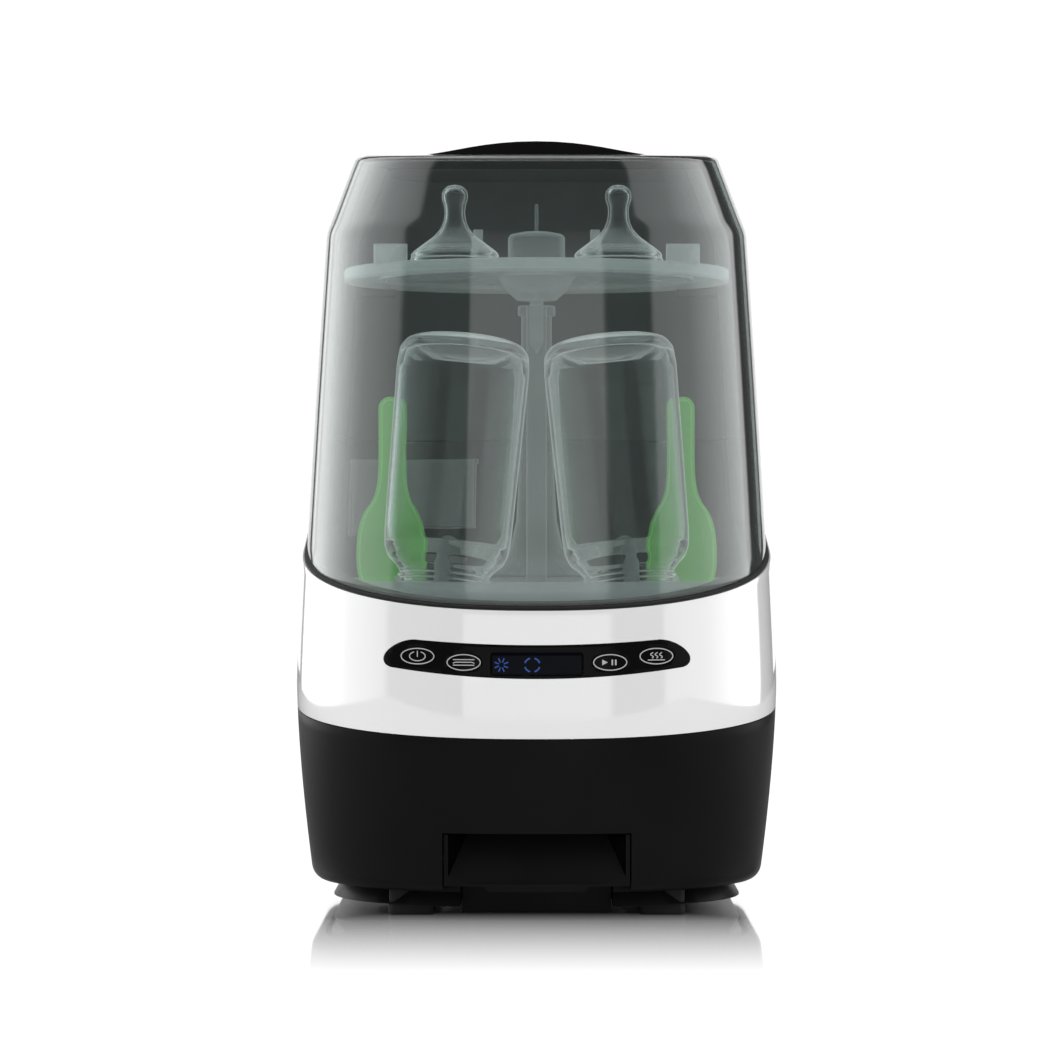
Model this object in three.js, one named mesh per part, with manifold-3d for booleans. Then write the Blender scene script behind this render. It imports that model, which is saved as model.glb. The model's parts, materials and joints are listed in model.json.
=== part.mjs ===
// Countertop bottle washer and steam sterilizer.
// A black base holds the pumps, the dryer's blower and a slide-out waste-water tank. A white
// housing rises from a band at the front to a column at the back, with the clean-water tank
// behind it. A smoke-tinted dome closes the wash chamber and tips back on a hinge at the top.
// Millimetres. +Z is up, -Y is the front, +X is to the right seen from the front.
// The origin is the centre of the footprint, on the surface that the feet stand on.
import * as THREE from "three";
import { mergeVertices } from "three/addons/utils/BufferGeometryUtils.js";
import Module from "manifold-3d";

const wasm = await Module();
wasm.setup();

// ---------------------------------------------------------------- driving dimensions
const HALF_WIDTH = 145; // at the widest level of the body
const WIDEST_Y = -45; // the front is an oval and the back a rounded box, joined at this plane
const FRONT_SHORTER = 20; // the front oval's half-depth is this much less than its half-width
const FRONT_POWER = 2.3; // exponent of the front oval
const REAR_DEPTH = 215; // from the widest plane to the back face
const REAR_RADIUS = 45;
const WIDEST_Z = 135;
const BASE_NARROWING = 9; // how much narrower the body is at BASE_LOW_Z
const BASE_LOW_Z = 25;
const CHAMFER_Z = 405; // where the dome's shoulders start to lean in
const DOME_NARROWING = 15.4;
const CHAMFER_SLOPE = 0.38;
const WALL = 2.2;
const GAP = 0.4; // between neighbouring pieces
const SMALLEST_DETAIL = 0.03;
const ARC_STEPS = 4;
const FRONT_STEPS = 26;

const BASE_BOTTOM_Z = 16;
const SEAM_Z = 121.8; // the joint between the black base and the white housing, at WIDEST_Y
const SEAM_SLOPE = 0.134; // it rises towards the back
const RIM_Z = 216; // the dome's lower edge, at WIDEST_Y
const RIM_SLOPE = 0.28;
const PARTING_Y = 27; // the dome's upright rear edge
const PARTING_RADIUS = 34;
const TOP_Z = 454.6; // the body's top, at WIDEST_Y
const TOP_SLOPE = 0.075;
const PEAK_Z = 468.6; // the crown of the arched cap over the hinge

const DOME_INSET = 2.6; // the dome stands in this far from the housing's outer face
const DOME_WALL = 2.5;
const GASKET = 1.2;
const HOUSING_EDGE = GASKET + 2 * GAP; // from the dome's edge to the housing's
const HINGE_Y = 50;
const HINGE_Z = 463.9;
const PIN_RADIUS = 1.3;
const PIN_GAP = 0.08;
const BARREL_RADIUS = 2.9;
const TUB_INSET = 16;
const TUB_WALL = 2.6;
const CHAMBER_BACK_Y = 100;
const TUB_FLOOR_Z = 152;
const TUB_REAR_TOP_Z = 283;
const SUMP_RADIUS = 36;
const SUMP_FLOOR_Z = 128;

const TOWER_Y = -21; // the spray tower, and the centre of the upper tray
const TRAY_RADIUS = 118;
const TRAY_LOW_Z = 377.3;
const TRAY_TOP_Z = 385.3;
const RACK_TOP_Z = 184;
const RACK_RIM_Z = 195.7;
const STATION_X = 56; // bottle stations on the lower rack
const STATION_Y = 71; // in front of and behind the tower
const LEAN_X = THREE.MathUtils.degToRad(5); // a bottle leans in towards the tower
const LEAN_Y = THREE.MathUtils.degToRad(7.5);

const WASTE_HALF = 54; // waste-water tank
const WASTE_LOW_Z = 19.4;
const WASTE_TOP_Z = 49.6;
const WASTE_BACK_Y = 75;
const KEEL_HALF = 43.5;
const PLATE_TOP_Z = 19;

const CLEAN_HALF = 86; // clean-water tank
const CLEAN_Y = 127.5;
const CLEAN_DEPTH = 41;
const CLEAN_LOW_Z = 166.4;
const CLEAN_TOP_Z = 430;

// ---------------------------------------------------------------- solids from geometries
// Makes a closed solid of a three.js geometry, with its faces turned outwards.
function solid(geometry) {
  const loose = geometry.index ? geometry.toNonIndexed() : geometry;
  const plain = new THREE.BufferGeometry();
  plain.setAttribute("position", loose.getAttribute("position"));
  const merged = mergeVertices(plain, 1e-4);
  const at = merged.attributes.position.array;
  const index = merged.index.array;
  const faces = [];
  let sixVolumes = 0;
  for (let i = 0; i < index.length; i += 3) {
    const [a, b, c] = index.subarray(i, i + 3);
    if (a === b || b === c || a === c) continue;
    faces.push([a, b, c]);
    const [pa, pb, pc] = [a, b, c].map((v) => new THREE.Vector3().fromArray(at, 3 * v));
    sixVolumes += pa.dot(pb.cross(pc));
  }
  const turned = sixVolumes < 0 ? faces.map(([a, b, c]) => [a, c, b]) : faces;
  const triVerts = new Uint32Array(turned.flat());
  return new wasm.Manifold(new wasm.Mesh({ numProp: 3, vertProperties: at, triVerts }));
}

function box(x0, x1, y0, y1, z0, z1) {
  const g = new THREE.BoxGeometry(x1 - x0, y1 - y0, z1 - z0);
  return solid(g.translate((x0 + x1) / 2, (y0 + y1) / 2, (z0 + z1) / 2));
}

// A cylinder or cone standing on z0.
function post(x, y, z0, z1, low, high = low, segments = 20) {
  const g = new THREE.CylinderGeometry(high, low, z1 - z0, segments);
  return solid(g.rotateX(Math.PI / 2).translate(x, y, (z0 + z1) / 2));
}

// A cylinder lying along X or Y.
function bar(axis, from, to, u, v, radius, segments = 16) {
  const g = new THREE.CylinderGeometry(radius, radius, to - from, segments);
  const middle = (from + to) / 2;
  if (axis === "x") return solid(g.rotateZ(Math.PI / 2).translate(middle, u, v));
  return solid(g.translate(u, middle, v));
}

// Turns a profile of [radius, height] pairs about the vertical axis.
function lathe(profile, segments = 32) {
  const g = new THREE.LatheGeometry(
    profile.map(([r, h]) => new THREE.Vector2(r, h)),
    segments,
  );
  return solid(g.rotateX(Math.PI / 2));
}

function shapeOf(points) {
  return new THREE.Shape(points.map(([u, v]) => new THREE.Vector2(u, v)));
}

function extrude(shape, depth, curveSegments) {
  return new THREE.ExtrudeGeometry(shape, { depth, bevelEnabled: false, curveSegments });
}

// A shape drawn in (y, z), from x0 to x1.
function alongX(shape, x0, x1, curveSegments = 10) {
  const turn = new THREE.Matrix4().makeBasis(
    new THREE.Vector3(0, 1, 0),
    new THREE.Vector3(0, 0, 1),
    new THREE.Vector3(1, 0, 0),
  );
  return solid(extrude(shape, x1 - x0, curveSegments).applyMatrix4(turn).translate(x0, 0, 0));
}

// A shape drawn in (x, z), from y0 to y1.
function alongY(shape, y0, y1, curveSegments = 10) {
  const turn = new THREE.Matrix4().makeBasis(
    new THREE.Vector3(1, 0, 0),
    new THREE.Vector3(0, 0, 1),
    new THREE.Vector3(0, -1, 0),
  );
  return solid(extrude(shape, y1 - y0, curveSegments).applyMatrix4(turn).translate(0, y1, 0));
}

// A shape drawn in (x, y), from z0 to z1.
function alongZ(shape, z0, z1, curveSegments = 10) {
  return solid(extrude(shape, z1 - z0, curveSegments).translate(0, 0, z0));
}

function tube(points, radius, steps, segments = 4) {
  const section = new THREE.Shape().absarc(0, 0, radius, 0, 2 * Math.PI);
  const path = new THREE.CatmullRomCurve3(points.map((p) => new THREE.Vector3(...p)));
  const options = { steps, extrudePath: path, curveSegments: segments };
  return solid(new THREE.ExtrudeGeometry(section, options));
}

function ellipse(x, z, rx, rz) {
  return new THREE.Shape().absellipse(x, z, rx, rz, 0, 2 * Math.PI);
}

function roundedBox(x, y, width, depth, radius) {
  const [w, d] = [width / 2 - radius, depth / 2 - radius];
  const s = new THREE.Shape();
  s.absarc(x + w, y + d, radius, 0, Math.PI / 2);
  s.absarc(x - w, y + d, radius, Math.PI / 2, Math.PI);
  s.absarc(x - w, y - d, radius, Math.PI, 1.5 * Math.PI);
  s.absarc(x + w, y - d, radius, 1.5 * Math.PI, 2 * Math.PI);
  return s;
}

function joined(...solids) {
  return solids.reduce((all, one) => all.add(one));
}

function without(whole, ...cuts) {
  return cuts.reduce((left, cut) => left.subtract(cut), whole);
}

// ---------------------------------------------------------------- the body's outline
function halfWidth(z) {
  if (z < WIDEST_Z) {
    const down = (WIDEST_Z - z) / (WIDEST_Z - BASE_LOW_Z);
    return HALF_WIDTH - BASE_NARROWING * down ** 1.6;
  }
  const up = Math.min(1, (z - WIDEST_Z) / (CHAMFER_Z - WIDEST_Z));
  const lean = Math.max(0, z - CHAMFER_Z) * CHAMFER_SLOPE;
  return HALF_WIDTH - DOME_NARROWING * up ** 1.2 - lean;
}

function rearFace(z) {
  const share = z < WIDEST_Z ? 1 : 0.5;
  return WIDEST_Y + REAR_DEPTH - share * (HALF_WIDTH - halfWidth(z));
}

const RING_POINTS = 2 * (ARC_STEPS + 1) + FRONT_STEPS + 1;

// Point i of the outline at height z, counter-clockwise seen from above.
function outlinePoint(i, z, inset, backY) {
  const a = halfWidth(z) - inset;
  const front = a - FRONT_SHORTER;
  const back = (backY ?? rearFace(z)) - inset;
  const r = Math.max(REAR_RADIUS - inset, 6);
  const corner = (side, angle) => [side * (a - r) + r * Math.cos(angle), back - r + r * Math.sin(angle)];
  const quarter = Math.PI / 2 / ARC_STEPS;
  if (i <= ARC_STEPS) return corner(1, i * quarter);
  if (i <= 2 * ARC_STEPS + 1) return corner(-1, Math.PI / 2 + (i - ARC_STEPS - 1) * quarter);
  const t = Math.PI + ((i - 2 * ARC_STEPS - 2) / FRONT_STEPS) * Math.PI;
  const power = 2 / FRONT_POWER;
  const x = a * Math.sign(Math.cos(t)) * Math.abs(Math.cos(t)) ** power;
  return [x, WIDEST_Y - front * Math.abs(Math.sin(t)) ** power];
}

// The outline on a plane that is at height z0 at WIDEST_Y and rises towards the back.
function ring(z0, slope, inset, backY) {
  return Array.from({ length: RING_POINTS }, (_, i) => {
    let z = z0;
    let [x, y] = [0, 0];
    for (let pass = 0; pass < 12; pass++) {
      [x, y] = outlinePoint(i, z, inset, backY);
      z = z0 + slope * (y - WIDEST_Y);
    }
    return new THREE.Vector3(x, y, z);
  });
}

// A solid skinned over rings of equal length, from the lowest to the highest.
function loft(rings) {
  const at = [];
  const face = (...points) => points.forEach((p) => at.push(p.x, p.y, p.z));
  const n = rings[0].length;
  const middle = (points) =>
    points.reduce((sum, p) => sum.add(p), new THREE.Vector3()).divideScalar(n);
  const [low, high] = [rings[0], rings[rings.length - 1]];
  const [lowMiddle, highMiddle] = [middle(low), middle(high)];
  for (let i = 0; i < n; i++) {
    const j = (i + 1) % n;
    face(lowMiddle, low[j], low[i]);
    face(highMiddle, high[i], high[j]);
    for (let level = 1; level < rings.length; level++) {
      const [below, above] = [rings[level - 1], rings[level]];
      face(below[i], below[j], above[j]);
      face(below[i], above[j], above[i]);
    }
  }
  const g = new THREE.BufferGeometry();
  return solid(g.setAttribute("position", new THREE.Float32BufferAttribute(at, 3)));
}

// The body's upright solid at an inset, between two levels.
const LEVELS = [70, WIDEST_Z, 200, 300, CHAMFER_Z, 480];
function bodySolid(inset, z0, z1, backY) {
  const between = LEVELS.filter((z) => z > z0 + 1 && z < z1 - 1);
  return loft([z0, ...between, z1].map((z) => ring(z, 0, inset, backY)));
}

// ---------------------------------------------------------------- cutting surfaces
// Seen from the side, everything above and in front of the line where the dome parts from the
// housing. A larger offset moves the line down and back.
const RIM_ANGLE = Math.atan(RIM_SLOPE);
function partingRegion(offset) {
  const y = PARTING_Y - PARTING_RADIUS;
  const rimZ = (at) => RIM_Z + RIM_SLOPE * (at - WIDEST_Y);
  const z = rimZ(y) + PARTING_RADIUS / Math.cos(RIM_ANGLE);
  const r = PARTING_RADIUS + offset;
  const s = new THREE.Shape();
  s.moveTo(-220, 520);
  s.lineTo(-220, rimZ(-220) - offset / Math.cos(RIM_ANGLE));
  s.absarc(y, z, r, RIM_ANGLE - Math.PI / 2, 0);
  s.lineTo(PARTING_Y + offset, 520);
  return alongX(s, -200, 200, 8);
}

// Everything above the body's top line, which is lowered by drop.
function aboveTop(drop) {
  const domeTop = (y) => TOP_Z + TOP_SLOPE * (y - WIDEST_Y) - drop;
  const line = [
    [-220, domeTop(-220)],
    [PARTING_Y, domeTop(PARTING_Y)],
    [60, 461 - drop],
    [103, 458 - drop],
    [220, 445 - drop],
    [220, 620],
    [-220, 620],
  ];
  return alongX(shapeOf(line), -200, 200);
}

// The half-space above a plane that rises towards the back.
function aboveSlope(z0, slope) {
  const z = (y) => z0 + slope * (y - WIDEST_Y);
  return alongX(shapeOf([[-260, z(-260)], [260, z(260)], [260, 640], [-260, 640]]), -220, 220);
}

// ---------------------------------------------------------------- materials and parts list
function finish(colour, roughness, metalness = 0, opacity = 1) {
  const transparent = opacity < 1;
  return new THREE.MeshStandardMaterial({ color: colour, roughness, metalness, transparent, opacity });
}

const FINISH = {
  white: finish(0xf2f2f3, 0.18),
  black: finish(0x131314, 0.38),
  blackGloss: finish(0x08080a, 0.08),
  darkLiner: finish(0x2a2f30, 0.35),
  greyLiner: finish(0x5d6466, 0.35),
  smoke: finish(0x3c4a48, 0.04, 0, 0.45),
  translucent: finish(0xc9cfd0, 0.25, 0, 0.6),
  clear: finish(0xeef4f3, 0.03, 0, 0.25),
  green: finish(0x6cb86a, 0.3, 0, 0.85),
  rubber: finish(0x1b1b1c, 0.85),
  steel: finish(0xb8bbbd, 0.25, 1),
  display: finish(0x0a1420, 0.05),
  board: finish(0x1f5a3a, 0.5),
  filter: finish(0xe6e6df, 0.9),
};

const group = new THREE.Group();

function part(name, manifold, material) {
  const made = manifold.simplify(SMALLEST_DETAIL).getMesh();
  const stride = made.numProp;
  const at = new Float32Array(made.numVert * 3);
  for (let i = 0; i < made.numVert; i++) {
    at.set(made.vertProperties.subarray(i * stride, i * stride + 3), i * 3);
  }
  const g = new THREE.BufferGeometry();
  g.setAttribute("position", new THREE.BufferAttribute(at, 3));
  g.setIndex(new THREE.BufferAttribute(made.triVerts, 1));
  g.computeVertexNormals();
  const mesh = new THREE.Mesh(g, material);
  mesh.name = name;
  group.add(mesh);
  return mesh;
}

// The body's rounded solid at an inset, with its top let down by the same amount.
function skin(inset, z0 = 100) {
  return without(bodySolid(inset, z0, 480), aboveTop(inset));
}

// The wash chamber's solid: at 0 the outer face of its walls, at TUB_WALL the inner face.
function chamber(wall, z0, z1) {
  return bodySolid(TUB_INSET + wall, z0, z1, CHAMBER_BACK_Y + TUB_INSET + TUB_WALL);
}

// ---------------------------------------------------------------- base
const FOOT_X = 73.5;
const FOOT_SIZE = 27;
const FEET = { front_left: [-1, -111], front_right: [1, -111], rear_left: [-1, 118], rear_right: [1, 118] };

const FILTER = { x: 60, z: 84, width: 72, height: 54 };
const INLET = { x: -72, z: 50, width: 28, height: 21 };

function rearPanel(place, grow) {
  const [w, h] = [place.width + 2 * grow, place.height + 2 * grow];
  return roundedBox(place.x, place.z, w, h, 5 + grow);
}

function makeBaseShell() {
  const rounded = (extra) => [
    ring(BASE_BOTTOM_Z, 0, 7 + extra),
    ring(18.4, 0, 2.6 + extra),
    ring(24, 0, extra),
    ...LEVELS.slice(0, 2).map((z) => ring(z, 0, extra)),
    ring(160, 0, extra),
  ];
  const outer = loft(rounded(0));
  const inner = loft([ring(10, 0, 10), ...rounded(WALL + 0.4)]);
  return without(
    outer,
    inner,
    aboveSlope(SEAM_Z - GAP / 2, SEAM_SLOPE),
    box(-WASTE_HALF - 0.8, WASTE_HALF + 0.8, -200, -60, 0, WASTE_TOP_Z + 0.8),
    alongY(rearPanel(FILTER, GAP), 100, 200, 4),
    alongY(rearPanel(INLET, GAP), 100, 200, 4),
  );
}

function footShape(x, y, grow) {
  return roundedBox(x, y, FOOT_SIZE + 2 * grow, FOOT_SIZE + 2 * grow, 4 + grow);
}

function makeBasePlate() {
  const plinth = loft([ring(6.4, 0, 10.5), ring(BASE_BOTTOM_Z - GAP, 0, 18.7)]);
  const plate = bodySolid(10.4, BASE_BOTTOM_Z - 1, PLATE_TOP_Z);
  const feet = Object.values(FEET).map(([side, y]) =>
    alongZ(footShape(side * FOOT_X, y, GAP), 0, BASE_BOTTOM_Z + GAP, 3),
  );
  return without(
    joined(plinth, plate),
    box(-KEEL_HALF - 0.8, KEEL_HALF + 0.8, -200, WASTE_BACK_Y - 1, 0, PLATE_TOP_Z + 4),
    box(-WASTE_HALF - 0.8, WASTE_HALF + 0.8, -200, -157.4, 0, 40),
    ...feet,
  );
}

part("base_shell", makeBaseShell(), FINISH.black);
part("base_plate", makeBasePlate(), FINISH.black);
for (const [name, [side, y]] of Object.entries(FEET)) {
  const foot = alongZ(footShape(side * FOOT_X, y, 0), 0, BASE_BOTTOM_Z, 3);
  part(`foot_${name}`, foot, FINISH.rubber);
}

// ---------------------------------------------------------------- waste-water tank
// The front is a hand recess: a sloping face between two dark pockets, with a finger groove
// behind its upper edge. It carries the runner that the tank sits on.
const TANK_FRONT_Y = -125.4;

function makeWasteFront() {
  const outline = bodySolid(0.4, 10, 70);
  const face = box(-WASTE_HALF, WASTE_HALF, -180, -157.8, BASE_BOTTOM_Z + GAP, WASTE_TOP_Z);
  const block = box(-WASTE_HALF, WASTE_HALF, -158, TANK_FRONT_Y - GAP, WASTE_LOW_Z, WASTE_TOP_Z);
  const slope = shapeOf([[-200, 21], [-156.5, 21], [-144, WASTE_TOP_Z + 0.1], [-144, 80], [-200, 80]]);
  const pockets = [-1, 1].map((side) => {
    const corners = [[51.5, WASTE_TOP_Z + 0.1], [40.5, WASTE_TOP_Z + 0.1], [51.5, 25]];
    return alongY(shapeOf(corners.map(([x, z]) => [side * x, z])), -200, -131);
  });
  const front = without(
    joined(block, face).intersect(outline),
    alongX(slope, -WASTE_HALF + 2.5, WASTE_HALF - 2.5),
    ...pockets,
    box(-39, 39, -141, -129, WASTE_TOP_Z - 14, 60),
  );
  const runner = box(-KEEL_HALF, KEEL_HALF, -136, WASTE_BACK_Y - 2, 2.5, WASTE_LOW_Z - GAP);
  const riser = box(-KEEL_HALF, KEEL_HALF, -136, TANK_FRONT_Y - GAP, 2.5, WASTE_LOW_Z + 2);
  return joined(front, runner, riser);
}

function makeWasteTank() {
  const top = WASTE_TOP_Z - 4;
  const outer = box(-WASTE_HALF, WASTE_HALF, TANK_FRONT_Y, WASTE_BACK_Y, WASTE_LOW_Z, top);
  const [x, y0, y1] = [WASTE_HALF - 2, TANK_FRONT_Y + 2, WASTE_BACK_Y - 2];
  return outer.subtract(box(-x, x, y0, y1, WASTE_LOW_Z + 2, 60));
}

part("waste_tank_front", makeWasteFront(), FINISH.black);
part("waste_tank", makeWasteTank(), FINISH.smoke);
const wasteLid = without(
  box(-WASTE_HALF, WASTE_HALF, TANK_FRONT_Y, WASTE_BACK_Y, WASTE_TOP_Z - 3.6, WASTE_TOP_Z),
  post(-30, -60, 40, 60, 9),
);
part("waste_tank_lid", wasteLid, FINISH.greyLiner);

// ---------------------------------------------------------------- white housing
// The control panel's outline on the front: a shallow smile with rounded ends.
function panelShape(grow) {
  const [x1, x2] = [71, 83];
  const tip = 88.8 + grow;
  const [topZ, topDip] = [162.3 + grow, 156.2 + grow];
  const [lowZ, lowDip] = [146.6 - grow, 134.4 - grow];
  const s = new THREE.Shape();
  s.moveTo(-tip, 151.5);
  s.bezierCurveTo(-tip, 156, -80 - grow, topZ, -x1, topZ);
  s.quadraticCurveTo(0, topDip, x1, topZ);
  s.bezierCurveTo(80 + grow, topZ, tip, 156, tip, 151.5);
  s.bezierCurveTo(tip, 148.5, x2 + 4, lowZ + 0.4, x2, lowZ);
  s.quadraticCurveTo(0, lowDip, -x2, lowZ);
  s.bezierCurveTo(-x2 - 4, lowZ + 0.4, -tip, 148.5, -tip, 151.5);
  return s;
}

const TANK_HATCH = roundedBox(0, CLEAN_Y, 2 * CLEAN_HALF + 2, CLEAN_DEPTH + 2, 5);

function makeMainHousing() {
  return without(
    skin(0).intersect(aboveSlope(SEAM_Z + GAP / 2, SEAM_SLOPE)),
    skin(WALL, 90),
    partingRegion(HOUSING_EDGE),
    alongY(panelShape(GAP), -200, -120, 6),
    alongZ(TANK_HATCH, 430, 480, 4),
  );
}

part("main_housing", makeMainHousing(), FINISH.white);

// ---------------------------------------------------------------- wash chamber
const FLANGE = 2.6;
const LINER_LOW_Z = TUB_REAR_TOP_Z + GAP;
const CEILING_DROP = 6;

// The ledge under the gasket, all round the chamber's opening.
function flange(hollow) {
  const outer = skin(WALL + GAP);
  const slab = partingRegion(HOUSING_EDGE + FLANGE).subtract(partingRegion(HOUSING_EDGE));
  return outer.intersect(slab).subtract(hollow);
}

function makeWashTub() {
  const hollow = chamber(TUB_WALL, TUB_FLOOR_Z, 300);
  const walls = chamber(0, TUB_FLOOR_Z - TUB_WALL, 290).subtract(partingRegion(HOUSING_EDGE));
  return without(
    joined(walls, flange(hollow)),
    hollow,
    post(0, TOWER_Y, SUMP_FLOOR_Z, TUB_FLOOR_Z + 1, SUMP_RADIUS),
    box(-200, 200, -200, 200, TUB_REAR_TOP_Z, 500),
  );
}

// A round cup that hangs under the tub's floor by its flange.
function makeSumpCup() {
  const [low, top] = [SUMP_FLOOR_Z - TUB_WALL, TUB_FLOOR_Z - TUB_WALL - GAP];
  const [r, rim] = [SUMP_RADIUS + TUB_WALL, SUMP_RADIUS + 6];
  const profile = [
    [0, low], [r, low], [r, top - 2], [rim, top - 2], [rim, top], [SUMP_RADIUS, top],
    [SUMP_RADIUS, SUMP_FLOOR_Z], [0, SUMP_FLOOR_Z], [0, low],
  ];
  return lathe(profile, 28).translate(0, TOWER_Y, 0);
}

// The tray's rear edge rests on these.
function trayLedges() {
  return [-1, 1].map((side) => {
    const [a, b] = [side * 88, side * 115].sort((p, q) => p - q);
    return box(a, b, 38, 58, TRAY_LOW_Z - 4.4, TRAY_LOW_Z - GAP);
  });
}

function makeChamberLiner() {
  const above = box(-200, 200, -200, 200, LINER_LOW_Z, 500);
  const drop = CEILING_DROP + TUB_WALL;
  const hollow = without(chamber(TUB_WALL, 270, 479), aboveTop(drop));
  const walls = without(chamber(0, 270, 479), aboveTop(CEILING_DROP), partingRegion(HOUSING_EDGE));
  const ledges = trayLedges().map((ledge) => ledge.intersect(chamber(TUB_WALL / 2, 270, 479)));
  const shell = joined(walls, flange(hollow)).subtract(hollow);
  return joined(shell, ...ledges).intersect(above);
}

function makeGasket() {
  const slab = partingRegion(GAP + GASKET).subtract(partingRegion(GAP));
  return skin(1).intersect(slab).subtract(skin(8.6, 90));
}

part("wash_tub", makeWashTub(), FINISH.darkLiner);
part("sump_cup", makeSumpCup(), FINISH.darkLiner);
part("chamber_liner", makeChamberLiner(), FINISH.greyLiner);
part("lid_gasket", makeGasket(), FINISH.rubber);

// ---------------------------------------------------------------- dome and its hinge
function makeDome() {
  const outer = skin(DOME_INSET, 150);
  const inner = skin(DOME_INSET + DOME_WALL, 140);
  return outer.subtract(inner).intersect(partingRegion(0));
}

const CAP_HALF = 70; // the arched cap's half-span
const CAP_FRONT_Y = 24;
const CAP_BACK_Y = HINGE_Y + BARREL_RADIUS;
const EYE_X = [17, 23]; // between these on each side stands an eye of the body
const EYE_GAP = 0.8;
const COVER_FRONT_Y = 57;

function hingeHole(radius) {
  return bar("x", -80, 80, HINGE_Y, HINGE_Z, radius, 16);
}

// An arch across the body, from y0 to y1.
function arch(crown, halfSpan, y0, y1) {
  const [low, side] = [452, crown - 8.4];
  const [u, v] = [halfSpan * 0.74, halfSpan * 0.48];
  const s = new THREE.Shape();
  s.moveTo(halfSpan, low);
  s.lineTo(halfSpan, side);
  s.bezierCurveTo(u, side + 1.6, v, crown, 0, crown);
  s.bezierCurveTo(-v, crown, -u, side + 1.6, -halfSpan, side);
  s.lineTo(-halfSpan, low);
  return alongY(s, y0, y1, 8);
}

// A plate on the dome's top, and a cap with a round back edge that turns about the pin. The
// eyes of the body stand in two pockets under the cap.
function makeLidBracket() {
  const plate = box(-40, 40, 2, CAP_FRONT_Y + 1, 440, 480)
    .intersect(aboveTop(DOME_INSET - 0.3))
    .subtract(aboveTop(DOME_INSET - 3.3));
  const cap = arch(PEAK_Z, CAP_HALF, CAP_FRONT_Y, CAP_BACK_Y).intersect(aboveTop(-GAP - 0.2));
  const behind = box(-80, 80, HINGE_Y, HINGE_Y + 10, 440, 480)
    .subtract(bar("x", -80, 80, HINGE_Y, HINGE_Z, CAP_BACK_Y - HINGE_Y, 24));
  const above = box(-80, 80, HINGE_Y, HINGE_Y + 10, HINGE_Z, 480)
    .subtract(bar("x", -80, 80, HINGE_Y - 1.6, HINGE_Z - 0.4, PEAK_Z - HINGE_Z + 0.4, 24));
  const pockets = [-1, 1].map((side) => {
    const ends = EYE_X.map((x, i) => side * (x + (i ? EYE_GAP : -EYE_GAP))).sort((p, q) => p - q);
    return box(ends[0], ends[1], 37, 60, 440, HINGE_Z + BARREL_RADIUS + 0.5);
  });
  const round = cap.subtract(behind.intersect(above.add(box(-80, 80, HINGE_Y, 70, 440, HINGE_Z))));
  return without(joined(plate, round), ...pockets, hingeHole(PIN_RADIUS + PIN_GAP));
}

function makeHingeBracket(side) {
  const [a, b] = EYE_X.map((x) => side * x).sort((p, q) => p - q);
  const foot = box(a, b, HINGE_Y - BARREL_RADIUS, HINGE_Y + BARREL_RADIUS, 450, HINGE_Z).intersect(aboveTop(-GAP));
  const eye = bar("x", a, b, HINGE_Y, HINGE_Z, BARREL_RADIUS, 16);
  return foot.add(eye).subtract(hingeHole(PIN_RADIUS + PIN_GAP));
}

// The fixed part of the arch, behind the lid's cap.
function makeHingeCover() {
  return arch(PEAK_Z - 1.5, CAP_HALF - 2, COVER_FRONT_Y, 92).intersect(aboveTop(-GAP));
}

part("dome_lid", makeDome(), FINISH.smoke);
part("lid_bracket", makeLidBracket(), FINISH.black);
part("hinge_bracket_left", makeHingeBracket(-1), FINISH.black);
part("hinge_bracket_right", makeHingeBracket(1), FINISH.black);
part("hinge_pin", bar("x", -23, 23, HINGE_Y, HINGE_Z, PIN_RADIUS), FINISH.steel);
part("hinge_cover", makeHingeCover(), FINISH.black);

// ---------------------------------------------------------------- control panel
const KEYS = {
  key_power: [-69.2, 153],
  key_mode: [-42.3, 149.6],
  key_start: [42.3, 149.6],
  key_dry: [69.2, 153],
};
const KEY_HALF = [10.3, 5.2];
const DISPLAY = { x: 0, z: 148.6, width: 53, height: 12.4 };

function between(insetOut, insetIn) {
  return bodySolid(insetOut, 110, 200).subtract(bodySolid(insetIn, 105, 205));
}

function displayShape(grow) {
  return roundedBox(DISPLAY.x, DISPLAY.z, DISPLAY.width + 2 * grow, DISPLAY.height + 2 * grow, 1.5);
}

function keyShape([x, z], grow) {
  return ellipse(x, z, KEY_HALF[0] + grow, KEY_HALF[1] + grow);
}

function makeBezel() {
  const keyHoles = Object.values(KEYS).map((at) => alongY(keyShape(at, 0.35), -200, -100, 8));
  const plate = alongY(panelShape(0), -180, -120, 6).intersect(between(0.3, 3.1));
  return without(plate, alongY(displayShape(GAP), -200, -120, 3), ...keyHoles);
}

// A cap in the bezel, a wider flange behind it and a stem that reaches for the circuit.
function makeKey(at) {
  const cap = alongY(keyShape(at, 0), -180, -120, 8).intersect(between(0.6, 4));
  const rim = alongY(keyShape(at, 1), -180, -120, 8).intersect(between(3.6, 5));
  const stem = alongY(ellipse(at[0], at[1], 2.5, 2.5), -180, -120, 4).intersect(between(3, 8));
  return joined(cap, rim, stem);
}

part("control_bezel", makeBezel(), FINISH.blackGloss);
const displayBody = alongY(displayShape(0), -180, -120, 3).intersect(between(0.6, 8));
part("display_module", displayBody, FINISH.display);
const boardShape = roundedBox(0, 151.5, 158, 14, 3);
part("control_board", alongY(boardShape, -180, -100, 3).intersect(between(9.2, 10.8)), FINISH.board);
for (const [name, at] of Object.entries(KEYS)) part(name, makeKey(at), FINISH.blackGloss);

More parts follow.
